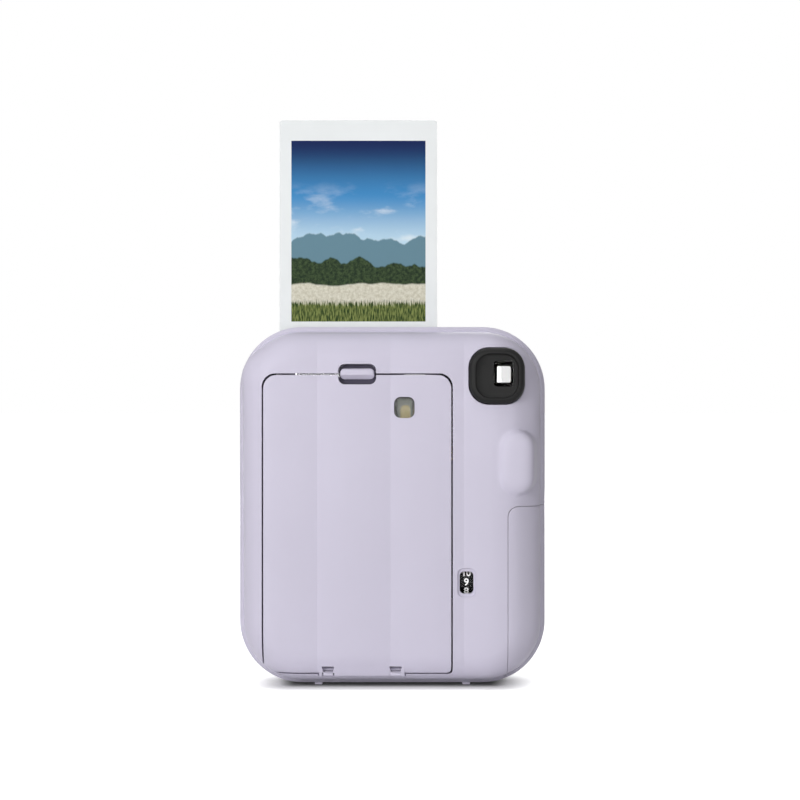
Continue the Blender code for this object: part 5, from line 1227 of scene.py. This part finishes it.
@dataclass
class Counter:
    """Drum with the number of sheets left, behind its small window."""

    x: float = COUNTER_SPOT[0]
    z: float = COUNTER_SPOT[1]
    drum_xs: Span = (19.9, 27.5)
    axis_depth: float = 9.5
    radius: float = 6.0
    letter: float = 3.35
    ink: float = 0.02
    stroke: float = 0.07
    strip: float = 0.25
    half_strips: int = 6
    lift: float = 0.01
    spacing: float = math.radians(30)

    def build(self) -> None:
        """Make and dress the drum, its numbers and the window."""
        ends = self.drum_xs
        profile = [(1.5, ends[0]), (self.radius, ends[0]), (self.radius, ends[1]), (1.5, ends[1])]
        drum = spun(profile, Axis.ACROSS, (self.axis_depth, self.z), 72)
        dress(solid("number_drum", drum), BLACK, "counter", "black", "counter_drum")
        dress(self.numbers(), DIGITS, "counter", "paper")
        depth = Housing().lobe(self.x) + 0.8
        pane = plate(self.x, self.z, 4.0, 6.8, (depth, depth + 1.0), 1.1)
        dress(solid("counter_pane", pane), COUNTER_PANE, "housing", "clear", "counter_window")

    def numbers(self) -> Piece:
        """Numbers from ten to nought, wrapped on the drum."""
        form = bmesh.new()
        for step, word in enumerate(("10", "9", "8", "7", "6", "5", "4", "3", "2", "1", "0")):
            flat = self.word(word)
            turn = self.spacing * (1 - step)
            for vert in flat.verts:
                angle = turn + vert.co.y / (self.radius * MM)
                reach = self.radius + self.lift + max(0.0, vert.co.z / MM)
                vert.co = at(self.x + vert.co.x / MM, self.axis_depth - reach * math.cos(angle),
                             self.z + reach * math.sin(angle))
            mesh = bpy.data.meshes.new("number")
            flat.to_mesh(mesh)
            flat.free()
            form.from_mesh(mesh)
            bpy.data.meshes.remove(mesh)
        return solid("drum_numbers", form)

    def word(self, text: str) -> Form:
        """Flat number about its middle, cut into narrow strips.

        Args:
            text: Digits of the number.

        Returns:
            The number as a thin flat mesh.
        """
        curve = bpy.data.curves.new("number", "FONT")
        curve.body, curve.size = text, self.letter * MM
        curve.align_x, curve.align_y = "CENTER", "CENTER"
        curve.extrude, curve.offset, curve.resolution_u = self.ink * MM, self.stroke * MM, 4
        if len(text) > 1:
            curve.space_character = 0.9
        guide = bpy.data.objects.new("number", curve)
        bpy.context.scene.collection.objects.link(guide)
        graph = bpy.context.evaluated_depsgraph_get()
        mesh = bpy.data.meshes.new_from_object(guide.evaluated_get(graph))
        bpy.data.objects.remove(guide)
        bpy.data.curves.remove(curve)
        form = bmesh.new()
        form.from_mesh(mesh)
        bpy.data.meshes.remove(mesh)
        bmesh.ops.remove_doubles(form, verts=form.verts, dist=MERGE)
        heights = [vert.co.y for vert in form.verts]
        shift = (max(heights) + min(heights)) / 2
        bmesh.ops.translate(form, verts=form.verts, vec=(0, -shift, 0))
        for step in range(-self.half_strips, self.half_strips + 1):
            halve(form, Vector((0, step * self.strip * MM, 0)), (0, 1, 0), FINE_MERGE)
        return form


# Lens and button


@dataclass
class LensUnit:
    """Collar, turning ring, sliding barrel and glass on the front."""

    centre: Span = LENS_SPOT
    mirror: Span = (-23.812, 66.162)
    sides: int = 120
    barrel_front: float = 72.6
    mouth_steps: int = 5
    mouth_radius: float = 13.0
    mouth_taper: float = 7.5
    mouth_depth: float = 4.6
    mouth_lip: float = 0.35

    def build(self) -> None:
        """Make and dress the turned pieces of the lens and its mirror."""
        collar = [(26.3, 45.5), (32.0, 45.5), *fillet(32.0, 54.6, 2.0), (26.8, 54.6), (26.3, 54.1)]
        dress(self.turned("lens_flange", collar), LILAC, "housing", "body", "lens_collar")
        ring = [(22.0, 47.5), (26.0, 47.5), (26.0, 54.9), (29.5, 54.9), (30.0, 55.4), (30.0, 57.6),
                (29.7, 57.8), (29.7, 58.2), (30.0, 58.4), *fillet(30.0, 64.0, 2.0), (22.6, 64.0),
                (22.0, 63.4)]
        dress(self.turned("turning_ring", ring), LILAC, "ring", "body", "control_ring")
        dress(self.barrel(), CHARCOAL, "barrel", "charcoal", "lens_barrel")
        front = self.turned("front_glass", self.glass(63.1, 65.8))
        dress(front, LENS, "barrel", "lens_glass", "lens_front")
        rear = self.turned("rear_glass", self.glass(60.2, 62.8))
        dress(rear, LENS, "barrel", "lens_glass", "lens_rear")
        mirror = rod(Axis.DEPTH, (72.1, 72.6), self.mirror, 2.9, 64, 0.15)
        dress(solid("self_view_mirror", mirror), MIRROR, "barrel", "mirror", "close_up_mirror")

    def turned(self, name: str, profile: Sequence[Span]) -> Piece:
        """Piece turned about the lens axis."""
        return solid(name, spun(profile, Axis.DEPTH, self.centre, self.sides))

    def barrel(self) -> Piece:
        """Barrel with a stepped mouth and the seat of the mirror."""
        front, steps = self.barrel_front, self.mouth_steps
        mouth = []
        for step in range(steps):
            radius = self.mouth_radius - self.mouth_taper * step / steps
            mouth += [(radius, front - self.mouth_depth * step / steps),
                      (radius - self.mouth_lip, front - self.mouth_depth * (step + 1) / steps)]
        profile = [(19.0, 45.6), (21.7, 45.6), *fillet(21.7, front, 1.0), (20.2, front), (20.1, 72.4),
                   (19.7, 72.4), (19.6, front), *mouth, (5.5, 68.0), (5.5, 67.5), (19.0, 67.5),
                   (19.0, 66.1), (7.7, 66.1), (7.7, 59.1), (19.0, 59.1)]
        piece = self.turned("lens_tube", profile)
        return carve(piece, [(CUT, rod(Axis.DEPTH, (71.8, FAR), self.mirror, 3.2, 64))])

    @staticmethod
    def glass(start: float, end: float, radius: float = 7.4) -> list[Span]:
        """Profile of an element with two curved faces."""
        swell = (end - start) / 4
        shares = [step / 8 for step in range(9)]
        back = [(radius * share, start + swell * share * share) for share in shares]
        front = [(radius * share, end - swell * share * share) for share in reversed(shares)]
        return back + front


@dataclass
class ReleaseButton:
    """Shutter button in its cup."""

    centre: Span = BUTTON_SPOT

    def build(self) -> None:
        """Make and dress the cup and the button."""
        cup = [(2.7, 45.0), (7.8, 45.0), *fillet(7.8, 52.4, 0.65), (6.9, 52.4), (6.5, 52.0), (6.5, 46.2),
               (2.7, 46.2)]
        dress(solid("release_cup", spun(cup, Axis.DEPTH, self.centre)), LILAC, "housing", "body",
              "button_cup")
        dish = [(6.2 * share, 53.3 + 0.2 * (1 - share * share)) for share in (0.75, 0.5, 0.25, 0.0)]
        cap = [(0.0, 45.0), (2.4, 45.0), (2.4, 50.1), (6.2, 50.1), *fillet(6.2, 53.3, 1.0), *dish]
        dress(solid("release_cap", spun(cap, Axis.DEPTH, self.centre)), CHARCOAL, "button", "charcoal",
              "shutter_button")


# Film


@dataclass
class Film:
    """Print on its way out, and the panel and mark on the pack behind the door's window."""

    x: float = FILM_X
    depth: float = 18.0
    width: float = 54.0
    thickness: float = 0.5
    zs: Span = (107.0, 193.0)
    picture: Span = (46.0, 62.0)
    border: float = 7.0

    def build(self) -> None:
        """Make and dress the print, the panel and the mark."""
        sheet = dress(self.sheet(), PAPER, "print", "paper", "film_print")
        self.lay_picture(sheet)
        # Panel and mark are lighter than the pack's own colours: painted light for the lamp light that
        # the door's window keeps out
        panel = plate(4.23, 94.1, 4.75, 6.4, (6.2, 6.38), 1.2)
        dress(solid("pack_label_panel", panel), PACK_PANEL_PAINTED_LIGHT, "housing", "black")
        mark = block((2.77, 6.03), (6.05, 6.18), (90.9, 95.4), 1.62, 0.3)
        dress(solid("pack_mark_patch", mark), MARK_PAINTED_LIGHT, "housing", "film")

    def sheet(self) -> Piece:
        """Sheet with the picture as a face of its own."""
        xs = (self.x - self.width / 2, self.x + self.width / 2)
        depths = (self.depth - self.thickness / 2, self.depth + self.thickness / 2)
        form = block(xs, depths, self.zs, 1.0, steps=6)
        top = self.zs[1] - self.border
        for side in (self.x - self.picture[0] / 2, self.x + self.picture[0] / 2):
            halve(form, Vector((side, 0, 0)) * MM, (1, 0, 0), FINE_MERGE)
        for height in (top, top - self.picture[1]):
            halve(form, Vector((0, 0, height)) * MM, (0, 0, 1), FINE_MERGE)
        return solid("instant_print", form)

    def lay_picture(self, sheet: Piece) -> None:
        """Put the picture on the side to the viewer and the dark reverse on the other.

        Args:
            sheet: The dressed print.
        """
        top = self.zs[1] - self.border
        sheet.data.materials.append(PICTURE.material())
        sheet.data.materials.append(PRINT_BACK.material())
        for face in sheet.data.polygons:
            middle = face.center / MM
            beside = abs(middle.x - self.x) >= self.picture[0] / 2
            within = not beside and top - self.picture[1] < middle.z < top
            if face.normal.y > 0.5:
                face.material_index = 2
            elif face.normal.y < -0.5 and within:
                face.material_index = 1


# Inner pieces


@dataclass
class Interior:
    """Finishes of the solids that keep their own shape, and the springs under the moving keys."""

    wire: float = 0.18

    def spring(self, node: str, axis: Axis, turns: int, body: str) -> None:
        """Make a coil that fills the box of its solid.

        Args:
            node: Solid that it stands for.
            axis: Its direction.
            turns: Its turns.
            body: Body that carries it.
        """
        low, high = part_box(node)
        piece = solid(f"{node}_coil", coil(axis, low, high, self.wire, turns))
        dress(piece, STEEL, body, "steel", node)
        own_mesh(piece)

    def build(self) -> None:
        """Give each kept solid the finish of its material, and make the springs."""
        finishes = {
            TUBE: ("viewfinder_tube",),
            BLACK: ("film_chamber", "lens_cover_left", "lens_cover_right", "shutter_blade_left",
                    "shutter_blade_right", "flash_capacitor"),
            PACK: ("film_pack", "transport_frame", "shutter_plate", "battery_tray"),
            FILM: ("film_stack",),
            NYLON: ("drive_gear", "pressure_gear", "idler_gear_large", "idler_gear_small"),
            BRASS: ("motor_pinion",),
            STEEL: ("drive_roller", "pressure_roller", "motor", "counter_axle",
                    "pressure_spring_left", "pressure_spring_right", "battery_spring",
                    "battery_bridge", "battery_terminal"),
            BLUED: ("hinge_pin",),
            MIRROR: ("flash_reflector",),
            CELL: ("battery_cell_back", "battery_cell_front"),
            BOARD: ("main_board",),
        }
        for finish, nodes in finishes.items():
            for name in nodes:
                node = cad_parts[name]
                node.data.materials.clear()
                node.data.materials.append(finish.material())
                LOG.info("%s: finish %s", name, finish.name)
        self.spring("latch_spring", Axis.UP, 4, "door")
        self.spring("button_spring", Axis.DEPTH, 3, "housing")


# Studio


@dataclass
class Studio:
    """White floor, soft lights and the camera of the photograph."""

    eye: tuple[float, float, float] = (2.6, -620.55, 97.1)
    lens: float = 79.1
    sensor: float = 36.0
    floor_size: float = 12.0
    # Strip under the rear half where the floor glows least and its colour is darkened as a painted shadow
    foot: Span = (0.0, -16.5)
    foot_half: Span = (33.0, 4.0)
    fade: float = 22.0
    # Distance over which the painted shadow in the floor's colour fades back to white
    painted_shadow_reach: float = 7.0
    floor_glow: float = 0.01
    ambient: float = 0.02

    def build(self) -> None:
        """Make the floor, the world, the lights and the camera."""
        self.floor()
        self.world()
        self.lamp("key", (-0.690, -1.020, 0.39), 0.45, 7.6)
        self.lamp("top", (-0.08, -0.30, 1.24), 0.80, 4.9)
        self.lamp("fill", (0.0, -1.17, 0.28), 0.45, 3.5)
        self.lamp("far", (0.0, 1.15, 0.50), 0.60, 4.5)
        camera = bpy.data.cameras.new("photo_view")
        camera.lens, camera.sensor_width = self.lens, self.sensor
        view = bpy.data.objects.new("photo_view", camera)
        view.location = Vector(self.eye) * MM
        view.rotation_euler = (math.pi / 2, 0, 0)
        bpy.context.scene.collection.objects.link(view)
        bpy.context.scene.camera = view
        bpy.context.scene.view_settings.view_transform = "Standard"

    @staticmethod
    def seen(graph: Graph) -> Socket:
        """One for rays from the camera, mirrors and glass, nought for light."""
        path = graph.add("LightPath").outputs
        mirrors = graph.maths("MAXIMUM", path["Is Glossy Ray"], path["Is Transmission Ray"])
        return graph.maths("MAXIMUM", path["Is Camera Ray"], mirrors)

    def floor(self) -> None:
        """Large white floor that keeps the shadow; its glow fades out towards a strip under the rear
        half, and in that strip its colour is darkened as a painted shadow.
        """
        form = bmesh.new()
        bmesh.ops.create_grid(form, x_segments=1, y_segments=1, size=self.floor_size)
        floor = solid("floor", form)
        material = bpy.data.materials.new("white_floor")
        material.use_nodes = True
        graph = Graph(material.node_tree)
        graph.tree.nodes.clear()
        place = graph.add("TexCoord").outputs["Object"]
        haze = graph.noise(place, 2.0)
        clear = self.clear_of_foot(graph, place)
        level = graph.ramp(clear, 0.0, self.fade * MM, self.floor_glow, 1.0)
        # Painted shadow: the floor's colour falls to dark grey in the strip and rises back over a few
        # millimetres
        painted_shadow_fade = graph.ramp(clear, 0.0, self.painted_shadow_reach * MM)
        shade = graph.mix(haze, (0.88, 0.88, 0.88), (0.90, 0.90, 0.90))
        matt = graph.add("BsdfDiffuse", {"Color": graph.mix(painted_shadow_fade, (0.25, 0.25, 0.25), shade)})
        glow = graph.add("Emission", {"Strength": graph.maths("MULTIPLY", self.seen(graph), level)})
        total = graph.add("AddShader", {0: matt.outputs[0], 1: glow.outputs[0]})
        graph.add("OutputMaterial", {0: total.outputs[0]})
        floor.data.materials.append(material)

    def clear_of_foot(self, graph: Graph, place: Any) -> Socket:
        """Distance on the floor from the strip under the rear half."""
        parts = graph.add("SeparateXYZ", {0: place}).outputs
        gaps = []
        for part, middle, half in zip(parts, self.foot, self.foot_half):
            beyond = graph.maths("ABSOLUTE", graph.maths("SUBTRACT", part, middle * MM))
            beyond = graph.maths("SUBTRACT", beyond, half * MM)
            gaps.append(graph.maths("MAXIMUM", beyond, 0.0))
        squares = [graph.maths("MULTIPLY", gap, gap) for gap in gaps]
        return graph.maths("SQRT", graph.maths("ADD", *squares))

    def world(self) -> None:
        """Soft grey light all round that is seen as white."""
        world = bpy.data.worlds.new("studio")
        world.use_nodes = True
        graph = Graph(world.node_tree)
        graph.tree.nodes.clear()
        light = graph.add("Background", {"Color": (1, 1, 1, 1), "Strength": self.ambient})
        white = graph.add("Background", {"Color": (1, 1, 1, 1), "Strength": 1.0})
        both = graph.add("MixShader", {0: self.seen(graph), 1: light.outputs[0], 2: white.outputs[0]})
        graph.add("OutputWorld", {0: both.outputs[0]})
        bpy.context.scene.world = world

    @staticmethod
    def lamp(name: str, spot: tuple[float, float, float], size: float, power: float) -> None:
        """Square soft box that points at the object.

        Args:
            name: Name of the lamp.
            spot: Its place in metres.
            size: Its side in metres.
            power: Its power in watts.
        """
        light = bpy.data.lights.new(name, "AREA")
        light.shape, light.size, light.energy = "SQUARE", size, power
        lamp = bpy.data.objects.new(name, light)
        lamp.location = spot
        lamp.rotation_euler = (LAMP_AIM - Vector(spot)).to_track_quat("-Z", "Y").to_euler()
        bpy.context.scene.collection.objects.link(lamp)


def main() -> None:
    """Build every part of the picture in order."""
    logging.basicConfig(level=logging.INFO, format="%(name)s: %(message)s")
    housing = Housing()
    parts = (housing, Viewfinder(), Flash(housing), Counter(), LensUnit(), ReleaseButton(), Film(),
             Interior(), Studio())
    for part in parts:
        part.build()


if __name__ == "__main__":
    main()
